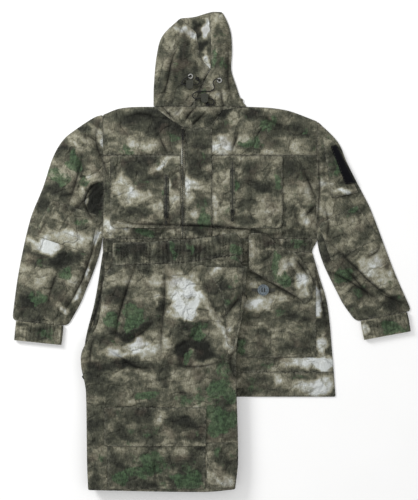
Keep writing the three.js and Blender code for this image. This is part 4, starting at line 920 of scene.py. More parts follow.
        (0.084, 0.005, 0.005, 0.014, 0, 0.8, 0), (0.065, -0.227, 0.016, 0.027, 0, 0.3, 0),
        (0.027, -0.416, 0.022, 0.027, 0, -0.55, 0), (0.044, -0.456, 0.022, 0.027, 0, -0.3, 1),
        (0.008, -0.483, 0.016, 0.022, 0, -0.2, 0.8), (0.054, -0.389, 0.016, 0.016, 0, -0.2, 0.9),
        (-0.316, -0.483, 0.019, 0.081, 0, -0.35, 0), (-0.313, -0.618, 0.016, 0.027, 0, -0.6, 0),
        (-0.307, -0.551, 0.014, 0.022, 0, 0.25, 0),
    ],
    "left_waistband": [
        (-0.259, 0.003, 0.008, 0.024, 25, 0.45, 0), (-0.235, 0.003, 0.022, 0.027, 0, -0.55, 0),
        (-0.194, -0.003, 0.022, 0.024, 0, -0.5, 0), (-0.162, 0.019, 0.024, 0.011, 0, 0.3, 0),
        (-0.124, 0.003, 0.014, 0.03, 0, -0.55, 0), (-0.105, 0.003, 0.008, 0.024, 0, -0.1, 1),
        (-0.073, 0.016, 0.022, 0.014, 0, 0.2, 0.6), (-0.032, 0.008, 0.019, 0.016, 0, -0.55, 0),
        (-0.048, 0.005, 0.008, 0.019, 0, 0, 1), (-0.019, 0.03, 0.027, 0.011, -10, 0.4, 0),
        (0.035, 0.03, 0.027, 0.014, 0, -0.4, 0), (0.065, 0.003, 0.019, 0.014, 0, 0.1, 0.9),
        (-0.178, -0.027, 0.011, 0.008, 0, 0.5, 0),
    ],
    "fly_shield": [
        (0.0015, -0.163, 0.115, 0.0085, -63, 0.8, 0), (0.045, -0.120, 0.030, 0.030, 0, -0.5, 0.3),
        (0.033, -0.027, 0.038, 0.011, 45, 1, 0), (-0.016, -0.084, 0.011, 0.038, -28, 0.5, 0),
        (0.008, -0.146, 0.011, 0.038, -22, 0.9, 0), (0.033, -0.213, 0.011, 0.038, -24, 0.5, 0),
        (0.049, -0.275, 0.016, 0.024, -20, 1.1, 0), (0.065, -0.132, 0.016, 0.027, 0, 0.3, 0),
        (0.038, -0.092, 0.016, 0.022, 0, -0.6, 0),
    ],
    "cargo_pocket": [
        (-0.150, -0.580, 0.110, 0.045, 0, -0.1, 0.35), (-0.060, -0.615, 0.040, 0.020, 0, -0.4, 0.7),
        (-0.235, -0.551, 0.016, 0.016, 0, 0.5, 0), (-0.086, -0.543, 0.022, 0.014, 0, 0.5, 0),
        (-0.167, -0.553, 0.032, 0.022, 0, -0.25, 0.4), (-0.194, -0.591, 0.049, 0.019, 0, -0.1, 0.6),
        (-0.127, -0.591, 0.032, 0.019, 0, 0.25, 0), (-0.248, -0.616, 0.027, 0.022, 0, -0.4, 0.4),
        (-0.046, -0.591, 0.022, 0.032, 0, -0.25, 0.3), (-0.127, -0.626, 0.016, 0.011, 0, 0.6, 0),
        (-0.07, -0.632, 0.027, 0.011, 0, -0.35, 0.6),
    ],
    "cargo_flap": [
        (-0.262, -0.459, 0.022, 0.032, 0, -0.1, 0), (-0.197, -0.44, 0.032, 0.016, 0, -0.35, 0),
        (-0.235, -0.486, 0.027, 0.022, 0, -0.4, 0.3), (-0.167, -0.473, 0.032, 0.022, 0, -0.3, 0.3),
        (-0.14, -0.435, 0.016, 0.016, 0, 0.45, 0), (-0.083, -0.459, 0.038, 0.022, 0, -0.4, 0.2),
        (-0.046, -0.491, 0.022, 0.024, 0, -0.35, 0), (-0.221, -0.516, 0.043, 0.008, 0, 0.45, 0),
        (-0.11, -0.518, 0.043, 0.011, 0, 0.6, 0), (-0.032, -0.521, 0.016, 0.011, 0, 0.5, 0),
    ],
    "knee_patch": [
        (0.027, -0.537, 0.032, 0.022, 0, -0.5, 0.3), (0.008, -0.586, 0.022, 0.016, 0, 0.35, 0),
        (0.035, -0.616, 0.03, 0.016, 0, 1, 0), (0.052, -0.567, 0.019, 0.022, 0, -0.35, 0.2),
    ],
}


# ---- Panels ----
def closed_shell(name, points, triangles, top, under):
    """A closed mesh between two heights over one outline."""
    count = len(points)
    directed = {}
    for a, b, c in triangles:
        for edge in ((a, b), (b, c), (c, a)):
            if edge[::-1] in directed:
                del directed[edge[::-1]]
            else:
                directed[edge] = True
    faces = [tuple(map(int, t)) for t in triangles]
    faces += [(int(c) + count, int(b) + count, int(a) + count) for a, b, c in triangles]
    faces += [(int(a), int(a) + count, int(b) + count, int(b)) for a, b in directed]
    upper = np.column_stack([points, top])
    lower = np.column_stack([points, under])
    mesh = bpy.data.meshes.new(name)
    mesh.from_pydata(np.vstack([upper, lower]).tolist(), [], faces)
    mesh.shade_smooth()
    mesh.set_sharp_from_angle(angle=SHARP)
    return linked(name, mesh)


def store(piece, name, values):
    kind = "FLOAT_VECTOR" if values.ndim == 2 else "FLOAT"
    attribute = piece.data.attributes.new(name, kind, "POINT")
    attribute.data.foreach_set("vector" if values.ndim == 2 else "value", values.astype(np.float32).ravel())


def on_cloth(points, angle, number):
    """Where points lie on the flat cloth that a panel was cut from, which differs from panel to panel."""
    turn = np.array([[math.cos(angle), math.sin(angle)], [-math.sin(angle), math.cos(angle)]])
    flat = points @ turn.T + np.array([0.37 * number, 0.61 * (number % 7)])
    return np.column_stack([flat, np.zeros(len(flat))])


def blotted(points, blots):
    """Tone and green that the listed blots add, to the print and, under the right arm, as painted shade."""
    tone = np.zeros(len(points))
    green = np.zeros(len(points))
    drift = np.array([
        0.014 * noise.noise_vector(Vector((x, y, 0.3)) / 0.042)
        + 0.008 * noise.noise_vector(Vector((x, y, 0.9)) / 0.014)
        for x, y in points
    ])
    points = points + drift[:, :2]
    for x, y, wide, high, turn, pale, leaf in blots:
        c, s = math.cos(math.radians(turn)), math.sin(math.radians(turn))
        u = ((points[:, 0] - x) * c + (points[:, 1] - y) * s) / wide
        v = (-(points[:, 0] - x) * s + (points[:, 1] - y) * c) / high
        share = np.clip(1.45 - np.sqrt(u * u + v * v), 0, 0.9) / 0.9
        share = share * share * (3 - 2 * share)
        tone += pale * share
        green += leaf * share
    return tone, green


def move(piece, body, blend):
    """Attaches a piece to a body; when a blend (body, start, end) is given, it only bakes the piece's
    transform into its mesh and attaches nothing.
    """
    if blend:
        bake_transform(piece)
    else:
        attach(piece, body)


EVERY_PANEL = {}
FOLDS = {part: drawn_out(folds) for part, folds in FOLDS.items()}
CREASES = crease_points([fold for folds in FOLDS.values() for fold in folds])


class Panel:
    """One piece of cloth. It knows the outline of its CAD node and the height of whatever it lies on."""

    def __init__(self, name, nodes, body, height, thick=THICK, angle=0.0, blots=(), material=CAMOUFLAGE,
                 outline=None, held="laid", rests_on=(), blend=None, slot="camouflage_cloth", tone=0.0):
        self.name, self.height, self.body, self.blend = name, height, body, blend
        self.outline = softened(outline if outline is not None else outline_of(nodes[0]))
        points, triangles = triangulated(self.outline, CREASES)
        top, crease_shade = height(points, self.outline)
        piece = closed_shell(name, points, triangles, top, top - thick)
        number = len(EVERY_PANEL) + 1
        shade, green = blotted(points, blots)
        rim = np.exp(-distance_to(points, self.outline) / 0.0035)
        # A painted shadow line along the whole outline of the panel.
        crease_shade = np.maximum(crease_shade, 0.85 * (rim > 0.97))
        for key, values in (("cloth", on_cloth(points, angle, number)), ("tone", shade + tone),
                            ("green", green), ("crease_shade", crease_shade), ("edge", rim)):
            store(piece, key, np.concatenate([values, values]))
        piece.data.materials.append(material)
        move(piece, body, blend)
        if nodes:
            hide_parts(*nodes)
        EVERY_PANEL[name] = self


def rim_roll(points, outline, depth, reach):
    """How far a panel's edge dips towards what it lies on."""
    return depth * np.exp(-((distance_to(points, outline) / reach) ** 2))


# ---- Layers that panels lie in ----
def near_others(outline, others):
    """Which points of an outline are sewn to another one."""
    if not others:
        return np.zeros(len(outline), bool)
    return distance_to(outline, np.vstack(others)) < SEAM_GAP


class Layer:
    """A layer of sewn panels, which rolls down, or up, at its free edges. parted says where panels that
    lie side by side aren't sewn, and calm lists (x, y, reach) of places without folds."""

    def __init__(self, outlines, edge_z, crest_z, roll=ROLL, folds=(), rough=0.0, seed=0, gathered=(),
                 parted=None, calm=()):
        soft = [softened(o) for o in outlines]
        free = []
        for i, outline in enumerate(soft):
            sewn = near_others(outline, soft[:i] + soft[i + 1:])
            if parted is not None:
                sewn &= ~parted(outline)
            free.append(outline[~sewn])
        self.free = np.vstack(free)
        self.edge_z, self.crest_z, self.roll = edge_z, crest_z, roll
        self.folds, self.rough, self.seed = folds, rough, seed
        self.gathered, self.calm = gathered, calm

    def height(self, points, outline=None, lift=0.0):
        """Height of the layer's surface, and its painted shade in folds and between gathers. The outline
        of the panel makes no difference.
        """
        away = distance_to(points, self.free)
        climb = 1 - np.exp(-((away / self.roll) ** 1.4))
        edge = self.edge_z(points) if callable(self.edge_z) else self.edge_z
        top = edge + (self.crest_z - edge) * climb
        raised, crease_shade = fold_field(points, self.folds)
        crumpled = crumple(points, self.seed, 0.075, self.rough) + crumple(
            points, self.seed + 5, 0.032, self.rough * 0.4)
        settle = np.clip(away / 0.012, 0.15, 1)
        for x, y, reach in self.calm:
            gone = np.hypot(points[:, 0] - x, points[:, 1] - y)
            settle = settle * np.clip(gone / reach - 0.5, 0, 1)
        top = top + (raised + crumpled) * settle + lift
        for gather in self.gathered:
            ridges = gathers(points, *gather) * np.clip(away / 0.006, 0, 1)
            top = top + ridges
            # Painted shade in the valleys between the gathered ribs.
            crease_shade = np.maximum(crease_shade, np.clip(-0.9 * ridges / gather[-2] - 0.35, 0, 1))
        return top, crease_shade

    def over(self, lift, lip=0.0011, reach=0.0045):
        """The height of a panel that lies on this layer, with its edges pressed down on it."""
        def height(points, outline):
            top, crease_shade = self.height(points, lift=lift)
            return top - rim_roll(points, outline, lip, reach), crease_shade
        return height

    def seamed(self, lift=0.0):
        """The height of a panel of the layer itself, with a shallow dip along its seams."""
        return self.over(lift, lip=0.0009, reach=0.0028)


def ring_frame(node):
    """The middle, half width and half length of a cuff, and its directions across and along the arm."""
    co = np.array([tuple(v.co) for v in frame["nodes"][node].data.vertices])
    flat = np.unique(co[:, :2].round(5), axis=0)
    middle = (flat.max(0) + flat.min(0)) / 2
    _, _, axes = np.linalg.svd(flat - flat.mean(0))
    across = axes[0] * np.sign(axes[0][0])
    along = np.array([across[1], -across[0]])
    reach = [np.abs((flat - middle) @ way).max() for way in (across, along)]
    return middle, reach[0], reach[1], across, along, co[:, 2].max()


def cuff_outline(node):
    middle, wide, long, across, along, _ = ring_frame(node)
    corners = ((-1, 1), (1, 1), (1, -1), (-1, -1))
    return np.array([middle + a * wide * across + b * long * along for a, b in corners])


def middle_of(node):
    low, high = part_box(node)
    return tuple((low + high) / 2)


# ---- Jacket ----
left_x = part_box("left_front")[1].x
right_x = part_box("right_front")[0].x
casing_low, casing_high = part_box("waist_casing")[0].y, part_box("waist_casing")[1].y
armpit = {"left": 0.155, "right": 0.175}

def whole_sleeve(side, layer=""):
    """The outline of an upper sleeve and forearm together, rounded where it enters its cuff."""
    sleeve = joined(outline_of(f"{side}_upper_sleeve{layer}"), outline_of(f"{side}_forearm{layer}"))
    return rounded_near(sleeve, ring_frame(f"{side}_cuff")[0], 0.105)


sleeve_outline = {side: whole_sleeve(side) for side in ("left", "right")}
sleeve_back_outline = {side: whole_sleeve(side, "_back") for side in ("left", "right")}


def unsewn(points):
    """Where a sleeve lies beside the body, below its armpit."""
    low = np.where(points[:, 0] > 0, armpit["left"], armpit["right"])
    beside = (np.abs(points[:, 0] - left_x) < 0.02) | (np.abs(points[:, 0] - right_x) < 0.02)
    return beside & (points[:, 1] < low) & (points[:, 1] > -0.06)


JACKET_PANELS = ["left_yoke", "right_yoke", "left_front", "right_front", "waist_casing", "left_skirt",
                 "right_skirt", "hem_facing"]
HOOD_PANELS = ["hood_left_panel", "hood_right_panel"]
front = Layer(
    [outline_of(n) for n in JACKET_PANELS + HOOD_PANELS] + list(sleeve_outline.values())
    + [cuff_outline("left_cuff"), cuff_outline("right_cuff")],
    EDGE_Z, CREST_Z, folds=FOLDS["hood"] + FOLDS["body"] + FOLDS["left_sleeve"] + FOLDS["right_sleeve"],
    rough=0.0021, seed=3, parted=unsewn,
    gathered=[(right_x, left_x, casing_low + 0.004, casing_high - 0.004, 0.03, RIB, 0.0014, 2.0)],
    calm=[middle_of(n)[:2] + (0.03,) for n in (
        "left_eyelet", "right_eyelet", "left_cord_lock", "right_cord_lock", "skirt_button",
        "front_zip_slider", "left_chest_slider", "right_chest_slider")],
)
under = Layer([outline_of("jacket_back"), outline_of("hood_back"), *sleeve_back_outline.values()],
              0.0028, 0.0022, rough=0.0002, seed=9)


ELBOW_REACH = 0.028  # distance up and down the arm from a sleeve's hinge to the two points given as its blend


def forearm_hinge(side):
    """Where the sleeve starts and ends its bend: points up and down the arm from the joint's axis."""
    joint = next(j for j in frame["joints"] if j["name"] == f"{side}_sleeve_fold")
    axis = Vector(joint["axis"])
    down = Vector((axis.y, -axis.x, 0)).normalized()
    if down.y > 0:
        down.negate()
    at = Vector(joint["pos_m"])
    return at - ELBOW_REACH * down, at + ELBOW_REACH * down


def lay_jacket():
    for name in JACKET_PANELS:
        Panel(name + "_cloth", [name], "jacket", front.seamed(), blots=BLOTS.get(name, ()),
              rests_on=["jacket_back_cloth"], held="gathered" if name == "waist_casing" else "laid",
              slot="elastic_cloth" if name == "waist_casing" else "camouflage_cloth")
    Panel("jacket_back_cloth", ["jacket_back"], "jacket", under.seamed(), tone=-0.2)
    for side, tilt in (("left", 0.45), ("right", -0.33)):
        start, end = forearm_hinge(side)
        bend = (f"{side}_forearm", start, end)
        Panel(f"{side}_sleeve_cloth", [f"{side}_upper_sleeve", f"{side}_forearm"], "jacket", front.seamed(),
              outline=sleeve_outline[side], blots=BLOTS[f"{side}_sleeve"], angle=tilt, blend=bend,
              rests_on=[f"{side}_sleeve_back_cloth"])
        Panel(f"{side}_sleeve_back_cloth", [f"{side}_upper_sleeve_back", f"{side}_forearm_back"], "jacket",
              under.seamed(), outline=sleeve_back_outline[side], angle=tilt, blend=bend, tone=-0.1)
        Panel(f"{side}_elbow_patch_cloth", [f"{side}_elbow_patch"], "jacket", front.over(0.0016),
              angle=tilt, blots=BLOTS[f"{side}_elbow_patch"], rests_on=[f"{side}_sleeve_cloth"], blend=bend)
    Panel("sleeve_pocket_cloth", ["sleeve_pocket"], "jacket", front.over(0.0021), angle=0.4,
          blots=BLOTS["sleeve_pocket"], rests_on=["left_sleeve_cloth"])
    Panel("hook_and_loop_pile", ["hook_and_loop_patch"], "jacket", front.over(0.0046, lip=0.0006),
          thick=0.0018, angle=0.4, material=PILE, rests_on=["sleeve_pocket_cloth"], slot="hook_and_loop")
    Panel("collar_cloth", ["collar"], "jacket", front.over(0.0018), blots=BLOTS["collar"], angle=0.5,
          rests_on=["left_yoke_cloth", "right_yoke_cloth"])
    Panel("placket_cloth", ["placket"], "jacket", front.over(0.0021), blots=BLOTS["placket"],
          rests_on=["right_front_cloth", "left_front_cloth"])
    Panel("front_zip_tape", ["front_zip"], "jacket", front.over(0.0011), blots=BLOTS["front_zip"],
          rests_on=["right_front_cloth"], slot="zip_tape")
    lift = 0.0026  # of the pockets above the front layer
    for side in ("left", "right"):
        Panel(f"{side}_chest_pocket_cloth", [f"{side}_chest_pocket"], "jacket",
              front.over(lift, lip=0.0005), blots=BLOTS[f"{side}_chest_pocket"],
              rests_on=[f"{side}_front_cloth"])
        Panel(f"{side}_chest_zip_welt", [f"{side}_chest_zip"], "jacket",
              front.over(lift + 0.0009, lip=0.0004), thick=0.0008, slot="zip_tape",
              rests_on=[f"{side}_chest_pocket_cloth"], tone=-0.9 if side == "right" else -0.3)
        Panel(f"{side}_skirt_pocket_cloth", [f"{side}_skirt_pocket"], "jacket", front.over(lift),
              blots=BLOTS.get(f"{side}_skirt_pocket", ()), rests_on=[f"{side}_skirt_cloth"])
    Panel("left_skirt_flap_cloth", ["left_skirt_flap"], "skirt_flap", front.over(0.0056, lip=0.0006),
          blots=BLOTS["left_skirt_flap"], angle=0.25, rests_on=["left_skirt_pocket_cloth"])


def lay_hood():
    for name in HOOD_PANELS:
        Panel(name + "_cloth", [name], "hood", front.seamed(), blots=BLOTS[name], angle=1.35,
              rests_on=["hood_back_cloth"])
    Panel("hood_back_cloth", ["hood_back"], "hood", under.seamed(), blots=BLOTS["hood_back"])


# ---- Trousers ----
crotch_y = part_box("inner_leg_panels")[1].y
TOP_LEG_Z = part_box("left_leg")[1].z
UNDER_LEG_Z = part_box("right_leg")[1].z


def seat_or_leg(seat, leg):
    """An edge height that is one value above the crotch and another below it."""
    def edge(points):
        share = np.clip((crotch_y + 0.02 - points[:, 1]) / 0.06, 0, 1)
        return seat + (leg - seat) * share * share * (3 - 2 * share)
    return edge


band_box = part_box("left_waistband")
leg_gathers = [
    (band_box[0].x, band_box[1].x, band_box[0].y + 0.03, band_box[1].y, 0.05, 0.0125, 0.0019, 4.0),
]
top_leg = Layer([outline_of("left_leg"), outline_of("left_waistband")], seat_or_leg(0.0270, 0.0305),
                TOP_LEG_Z + 0.0002, roll=0.015, folds=FOLDS["trousers"], rough=0.0023, seed=21,
                gathered=leg_gathers)
under_leg = Layer([outline_of("right_leg"), outline_of("right_waistband")], seat_or_leg(0.0250, 0.0200),
                  UNDER_LEG_Z, rough=0.0004, seed=25)
inner_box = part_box("inner_leg_panels")


def lay_trousers():
    def lay(name, node, height, body="trousers", **more):
        Panel(name, [node], body, height, blots=BLOTS.get(node, ()), **more)

    lay("left_leg_cloth", "left_leg", top_leg.seamed(), rests_on=["inner_leg_upper_cloth"], angle=0.03)
    lay("left_waistband_cloth", "left_waistband", top_leg.seamed(lift=0.0008), held="gathered",
        rests_on=["right_waistband_cloth"], slot="elastic_cloth", tone=-0.35)
    lay("right_leg_cloth", "right_leg", under_leg.seamed(), rests_on=["right_skirt_cloth"], tone=-0.2)
    lay("right_waistband_cloth", "right_waistband", under_leg.seamed(lift=0.0006), held="gathered",
        slot="elastic_cloth", tone=-0.2)
    inner = outline_of("inner_leg_panels")
    upper = Layer([inner], 0.0290, inner_box[1].z, rough=0.0003, seed=31)
    lower = Layer([inner], 0.0215, inner_box[0].z + THICK, rough=0.0003, seed=33)
    lay("inner_leg_upper_cloth", "inner_leg_panels", upper.seamed(), tone=-0.2,
        rests_on=["inner_leg_lower_cloth"])
    lay("inner_leg_lower_cloth", "inner_leg_panels", lower.seamed(), tone=-0.2,
        rests_on=["right_leg_cloth"])
    lay("cargo_pocket_cloth", "cargo_pocket", top_leg.over(0.0024), rests_on=["left_leg_cloth"], tone=-0.25)
    lay("cargo_flap_cloth", "cargo_flap", top_leg.over(0.0047, lip=0.0006), body="cargo_flap",
        rests_on=["cargo_pocket_cloth"], tone=-0.25)
    lay("knee_patch_cloth", "knee_patch", top_leg.over(0.0018), rests_on=["left_leg_cloth"])
    lay("fly_shield_cloth", "fly_shield", top_leg.over(0.0018), rests_on=["left_leg_cloth"], angle=0.3)
    folded = outline_of("lower_legs")
    centre = folded.mean(0)
    plies = 4
    pitch = (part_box("lower_legs")[1].z - 0.0004) / plies
    for ply in range(plies):
        inset = centre + (folded - centre) * (1 - 0.008 * ((ply * 3) % 4))
        stack = Layer([inset], pitch * (ply + 0.55), pitch * (ply + 1), roll=0.006)
        Panel(f"lower_leg_fold_{ply + 1}_cloth", ["lower_legs"], "trousers", stack.height, outline=inset,
              thick=pitch * 0.5, tone=-0.1, held="folded", rests_on=["lower_leg_fold_1_cloth"])


lay_jacket()
lay_hood()
lay_trousers()


# ---- Cuffs: flat tubes gathered on elastic ----
CUFF_ROWS = 18
CUFF_THICK = 0.0016


def round_cuff(s, straight, half, radius):
    """Where a point is that lies s round a flattened tube: across it, and above its middle."""
    bend = math.pi * half
    if s < 2 * straight:
        return straight - s, radius
    if s < 2 * straight + bend:
        turn = math.pi / 2 + (s - 2 * straight) / half
        return -straight + radius * math.cos(turn), radius * math.sin(turn)
    if s < 4 * straight + bend:
        return s - 3 * straight - bend, -radius
    turn = -math.pi / 2 + (s - 4 * straight - bend) / half
    return straight + radius * math.cos(turn), radius * math.sin(turn)


def lay_cuff(side):
    node = f"{side}_cuff"
    middle, wide, long, across, along, high = ring_frame(node)
    half = high / 2 - 0.0012
    straight = wide - half
    girth = 4 * straight + 2 * math.pi * half
    pitch = girth / round(girth / RIB)
    around, rows = 6 * round(girth / pitch), CUFF_ROWS
    points = []
    flat = []
    ribs = []
    for layer, inset in ((0, 0.0), (1, CUFF_THICK)):
        for row in range(rows + 1):
            t = row / rows
            for k in range(around):
                s = girth * k / around
                sway = 2.4 * noise.noise(Vector((s / 0.021, 1.6 * t, wide * 90)))
                wave = math.cos(2 * math.pi * s / pitch + sway)
                rib = 0.0011 * wave * math.sin(math.pi * min(max(t, 0.10), 0.90))
                radius = half - inset + (rib if not layer else 0.0)
                u, z = round_cuff(s, straight, half, radius)
                spot = middle + u * across + long * (2 * t - 1) * along
                points.append((*spot, half + 0.0017 + z))
                flat.append((s + 0.3, t * 2 * long, 0))
                # Painted shade in the valleys between the ribs, stored with the grooves' painted shade.
                ribs.append(max(0.0, -wave - 0.55) * 0.7)
    size = around * (rows + 1)

    def at(layer, row, k):
        return layer * size + row * around + k % around

    faces = []
    for row in range(rows):
        for k in range(around):
            quad = (at(0, row, k), at(0, row, k + 1), at(0, row + 1, k + 1), at(0, row + 1, k))
            faces.append(quad)
            faces.append(tuple(i + size for i in reversed(quad)))
    for row, order in ((0, 1), (rows, -1)):
        for k in range(around):
            rim = (at(0, row, k), at(1, row, k), at(1, row, k + 1), at(0, row, k + 1))
            faces.append(rim[::order])
    mesh = bpy.data.meshes.new(node + "_elastic")
    mesh.from_pydata([tuple(p) for p in points], [], faces)
    piece = linked(node + "_elastic", mesh)
    bm = bmesh.new()
    bm.from_mesh(mesh)
    bmesh.ops.recalc_face_normals(bm, faces=bm.faces)
    bm.to_mesh(mesh)
    bm.free()
    mesh.shade_smooth()
    mesh.set_sharp_from_angle(angle=SHARP)
    tone, green = blotted(np.array(points)[:, :2], BLOTS[node])
    for key, values in (("cloth", np.array(flat)), ("tone", tone), ("green", green),
                        ("crease_shade", np.array(ribs)), ("edge", np.zeros(len(points)))):
        store(piece, key, values)
    mesh.materials.append(CAMOUFLAGE)
    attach(piece, f"{side}_forearm")
    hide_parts(node)


# ---- Thread, teeth and hard parts ----
HARD_SHARP = math.radians(40)


def new_piece(name, bm, material, body, blend=None):
    bmesh.ops.recalc_face_normals(bm, faces=bm.faces)
    mesh = bpy.data.meshes.new(name)
    bm.to_mesh(mesh)
    bm.free()
    mesh.shade_smooth()
    mesh.set_sharp_from_angle(angle=HARD_SHARP)
    mesh.materials.append(material)
    piece = linked(name, mesh)
    move(piece, body, blend)
    return piece


def add_bar(bm, centre, way, length, width, height):
    """A short bar with a ridged back, lying along a direction in the plane."""
    along = Vector((way[0], way[1], 0)).normalized()
    side = Vector((-along.y, along.x, 0))
    up = Vector((0, 0, 1))
    middle = Vector(centre)
    rings = []
    for t, scale in ((-0.5, 0.45), (-0.3, 1.0), (0.3, 1.0), (0.5, 0.45)):
        ring = []
        for u, v in ((-0.5, 0.0), (-0.3, 0.75), (0.0, 1.0), (0.3, 0.75), (0.5, 0.0), (0.0, -0.3)):
            ring.append(bm.verts.new(
                middle + along * (t * length) + side * (u * width * scale) + up * (v * height * scale)))
        rings.append(ring)
    bridge(bm, rings)
    bm.faces.new(rings[0])
    bm.faces.new(rings[-1][::-1])


def stitched(panel, insets):
    """Rows of stitches that run round a panel at given distances from its edge."""
    bm = bmesh.new()
    for inset in insets:
        line, way = inset_line(panel.outline, inset)
        last = None
        spots = []
        for point, direction in zip(line, way):
            if last is None or np.linalg.norm(point - last) > STITCH:
                spots.append((point, direction))
                last = point
        if not spots:
            continue
        places = np.array([p for p, _ in spots])
        tops = panel.height(places, panel.outline)[0]
        for (point, direction), top in zip(spots, tops):
            add_bar(bm, (*point, top), direction, STITCH * 0.72, 0.0007, 0.0003)
    new_piece(panel.name + "_stitches", bm, THREAD, panel.body, blend=panel.blend)


def add_teeth(name, node, lift, body, pitch):
    """Two rows of interlocking teeth down the middle of a zip."""
    low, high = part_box(node)
    x = (low.x + high.x) / 2
    rows = np.arange(low.y + 0.003, high.y - 0.003, pitch)
    places = np.array([(x + (0.0006 if i % 2 else -0.0006), y) for i, y in enumerate(rows)])
    tops = front.height(places, lift=lift)[0]
    bm = bmesh.new()
    for (px, py), top in zip(places, tops):
        add_bar(bm, (px, py, top), (1, 0), 0.0034, pitch * 0.8, 0.0009)
    piece = new_piece(name, bm, TEETH, body)


def plate(bm, outline, low, high, bevel=0.0003):
    """A flat piece with bevelled rims, from an outline of (x, y) points."""
    outline = np.array(outline)
    centre = outline.mean(0)
    span = np.linalg.norm(outline - centre, axis=1).max()
    rings = []
    for z, inset in ((low, bevel), (low + bevel, 0), (high - bevel, 0), (high, bevel)):
        ring = centre + (outline - centre) * (1 - inset / span)
        rings.append([bm.verts.new((*p, z)) for p in ring])
    bridge(bm, rings)
    bm.faces.new(rings[0][::-1])
    bm.faces.new(rings[-1])


def framed(bm, outer, inner, low, high):
    """A flat ring between two outlines with the same number of points."""
    rings = [[bm.verts.new((*p, z)) for p in line] for line, z in
             ((outer, low), (outer, high), (inner, high), (inner, low))]
    bridge(bm, rings + rings[:1])


def oval(x, y, wide, high, count=20, square=2.6):
    """Points round a rounded rectangle."""
    points = []
    for k in range(count):
        turn = 2 * math.pi * (k + 0.5) / count
        c, s = math.cos(turn), math.sin(turn)
        points.append((x + wide * math.copysign(abs(c) ** (2 / square), c),
                       y + high * math.copysign(abs(s) ** (2 / square), s)))
    return points


def lay_slider(node, body):
    """A zip slider: the upper plate of its body, a bridge, and a slotted pull tab that lies down from
    it. Its lower plate is hidden under the tape and left out."""
    low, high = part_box(node)
    x = (low.x + high.x) / 2
    head = high.y - 0.0055
    bm = bmesh.new()
    waist = [(-0.0030, -0.0055), (0.0030, -0.0055), (0.0042, -0.001), (0.0045, 0.0050), (0.002, 0.0055),
             (0, 0.0042), (-0.002, 0.0055), (-0.0045, 0.0050), (-0.0042, -0.001)]
    tab_end = low.y + 0.0075
    plate(bm, [(x + u, head + v) for u, v in waist], low.z + 0.0010, low.z + 0.0019)
    plate(bm, oval(x, head + 0.001, 0.0012, 0.003), low.z + 0.0012, low.z + 0.0028)
    framed(bm, oval(x, (head + tab_end) / 2 - 0.0015, 0.0034, (head - tab_end) / 2 + 0.004),
           oval(x, (head + tab_end) / 2 + 0.001, 0.0018, (head - tab_end) / 2 - 0.001),
           low.z + 0.0014, low.z + 0.0028)
    framed(bm, oval(x, low.y + 0.004, 0.0036, 0.0042), oval(x, low.y + 0.004, 0.0014, 0.0018),
           low.z + 0.0011, low.z + 0.0031)
    piece = new_piece(node + "_metal", bm, ZINC, body)
    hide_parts(node)


def add_knot(name, centre, body, count=48):
    """A small overhand knot: cord wound in a trefoil."""
    bm = bmesh.new()
    path = []
    for k in range(count):
        a = 2 * math.pi * k / count
        path.append(Vector(centre) + CORD * 0.46 * Vector((
            math.sin(a) + 2 * math.sin(2 * a), math.cos(a) - 2 * math.cos(2 * a), -1.1 * math.sin(3 * a))))
    tube(bm, path, CORD * 0.48, closed=True)
    piece = new_piece(name, bm, BRAID, body)
    return piece


def bevelled(node, material, width):
    """Rounds the edges of a CAD node that keeps its shape, and gives it a better material."""
    piece = frame["nodes"][node]
    piece.data.materials.clear()
    piece.data.materials.append(material)
    rounding = piece.modifiers.new("rounding", "BEVEL")
    rounding.width = width
    rounding.segments = 3
    rounding.limit_method = "ANGLE"
    rounding.angle_limit = math.radians(35)


def lay_hard_parts():
    for node, body in (("front_zip_slider", "front_slider"), ("left_chest_slider", "left_slider"),
                       ("right_chest_slider", "right_slider")):
        lay_slider(node, body)
    add_teeth("front_zip_teeth", "front_zip", 0.0011, "jacket", 0.0026)
    for side in ("left", "right"):
        add_teeth(f"{side}_chest_zip_teeth", f"{side}_chest_zip", 0.0033, "jacket", 0.0022)
        bevelled(f"{side}_eyelet", STEEL, 0.0003)
        bevelled(f"{side}_cord_lock", LOCK, 0.0009)
        bevelled(f"{side}_lock_plunger", LOCK, 0.0005)
    bevelled("skirt_button", BUTTON, 0.0006)
    bevelled("button_tape", TAPE_SOLID, 0.0002)


lay_cuff("left")
lay_cuff("right")
STITCHED_PANELS = (
    ("collar_cloth", (0.003,)), ("placket_cloth", (0.003, 0.009)),
    ("left_skirt_flap_cloth", (0.003, 0.009)), ("left_chest_pocket_cloth", (0.003,)),
    ("right_chest_pocket_cloth", (0.003,)), ("left_skirt_pocket_cloth", (0.003, 0.009)),
    ("right_skirt_pocket_cloth", (0.003, 0.009)), ("left_elbow_patch_cloth", (0.003,)),
    ("right_elbow_patch_cloth", (0.003,)), ("sleeve_pocket_cloth", (0.003,)),
    ("hook_and_loop_pile", (0.0025,)), ("hem_facing_cloth", (0.004,)),
    ("waist_casing_cloth", (0.003, 0.016)), ("left_yoke_cloth", (0.003,)),
    ("right_yoke_cloth", (0.003,)), ("hood_left_panel_cloth", (0.004,)),
    ("hood_right_panel_cloth", (0.004,)), ("left_sleeve_cloth", (0.004,)),
    ("right_sleeve_cloth", (0.004,)), ("left_chest_zip_welt", (0.0022,)),
    ("right_chest_zip_welt", (0.0022,)), ("cargo_pocket_cloth", (0.003, 0.009)),
    ("cargo_flap_cloth", (0.003, 0.009)), ("knee_patch_cloth", (0.003, 0.009)),
    ("fly_shield_cloth", (0.003,)), ("left_leg_cloth", (0.004, 0.010)),
    ("left_waistband_cloth", (0.004, 0.022)),
)
for name, insets in STITCHED_PANELS:
    stitched(EVERY_PANEL[name], insets)
lay_hard_parts()


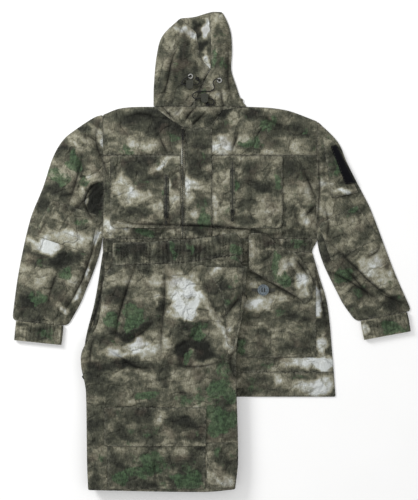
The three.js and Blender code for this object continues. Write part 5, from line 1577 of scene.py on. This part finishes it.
# ---- The strip of cloth that joins the hood to the collar, hidden while the hood lies flat ----
def lay_neck():
    low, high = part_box("hood_back")
    y = low.y
    left, right = low.x + 0.012, high.x - 0.010
    outline = np.array([(left, y - 0.022), (right, y - 0.022), (right, y + 0.022), (left, y + 0.022)])
    bend = ("hood", (0, y - 0.014, 0), (0, y + 0.014, 0))
    for name, level in (("neck_strip_front_cloth", front.over(-0.0014)),
                        ("neck_strip_back_cloth", under.over(0.0014))):
        Panel(name, [], "jacket", level, outline=outline, tone=-0.3, rests_on=["hood_back_cloth"],
              blend=bend)


lay_neck()


# ---- Cords ----
def lay_cords():
    """Ties a knot at the end of each cord and gives the cord its braid material."""
    for node, body in (("right_drawcord", "hood"), ("left_drawcord", "hood"), ("hem_cord", "jacket")):
        path = CORD_PATHS[node]
        knot = add_knot(node + "_knot", Vector(path[-1]) + Vector((0, 0, 0.0006)), body)
        on_it = [knot]
        if body == "hood":
            side = node.split("_")[0]
            on_it += [frame["nodes"][f"{side}_cord_lock"], frame["nodes"][f"{side}_lock_plunger"],
                      frame["nodes"][f"{side}_eyelet"]]
        CORD_PIECES[node].data.materials.append(BRAID)


lay_cords()


# ---- Floor and light ----
def add_stage():
    bpy.ops.mesh.primitive_plane_add(size=30, location=(0, 0, 0))
    floor = bpy.context.object
    floor.name = "floor"
    n = Nodes("pale_floor", roughness=0.95)
    place = n.add("ShaderNodeTexCoord").outputs["Object"]
    floor.data.materials.append(n.color(n.mix(n.noise(place, 6.0), linear("fbfbfb"), linear("f6f6f5"))))
    n.shader.inputs["Emission Color"].default_value = (1, 1, 1, 1)
    n.shader.inputs["Emission Strength"].default_value = 0.10
    world = bpy.data.worlds.new("studio")
    world.use_nodes = True
    background = world.node_tree.nodes["Background"]
    background.inputs["Color"].default_value = (1.0, 1.0, 1.0, 1)
    background.inputs["Strength"].default_value = 0.62
    bpy.context.scene.world = world
    for name, place, size, power in (
        ("key_light", (-2.4, 1.8, 1.6), 1.1, 92),
        ("fill_light", (2.2, -0.6, 2.8), 2.4, 10),
    ):
        light = bpy.data.lights.new(name, "AREA")
        light.size = size
        light.energy = power
        lamp = linked(name, light)
        lamp.location = place
        lamp.rotation_euler = (-Vector(place)).to_track_quat("-Z", "Y").to_euler()


add_stage()
bpy.context.scene.view_settings.view_transform = "Standard"
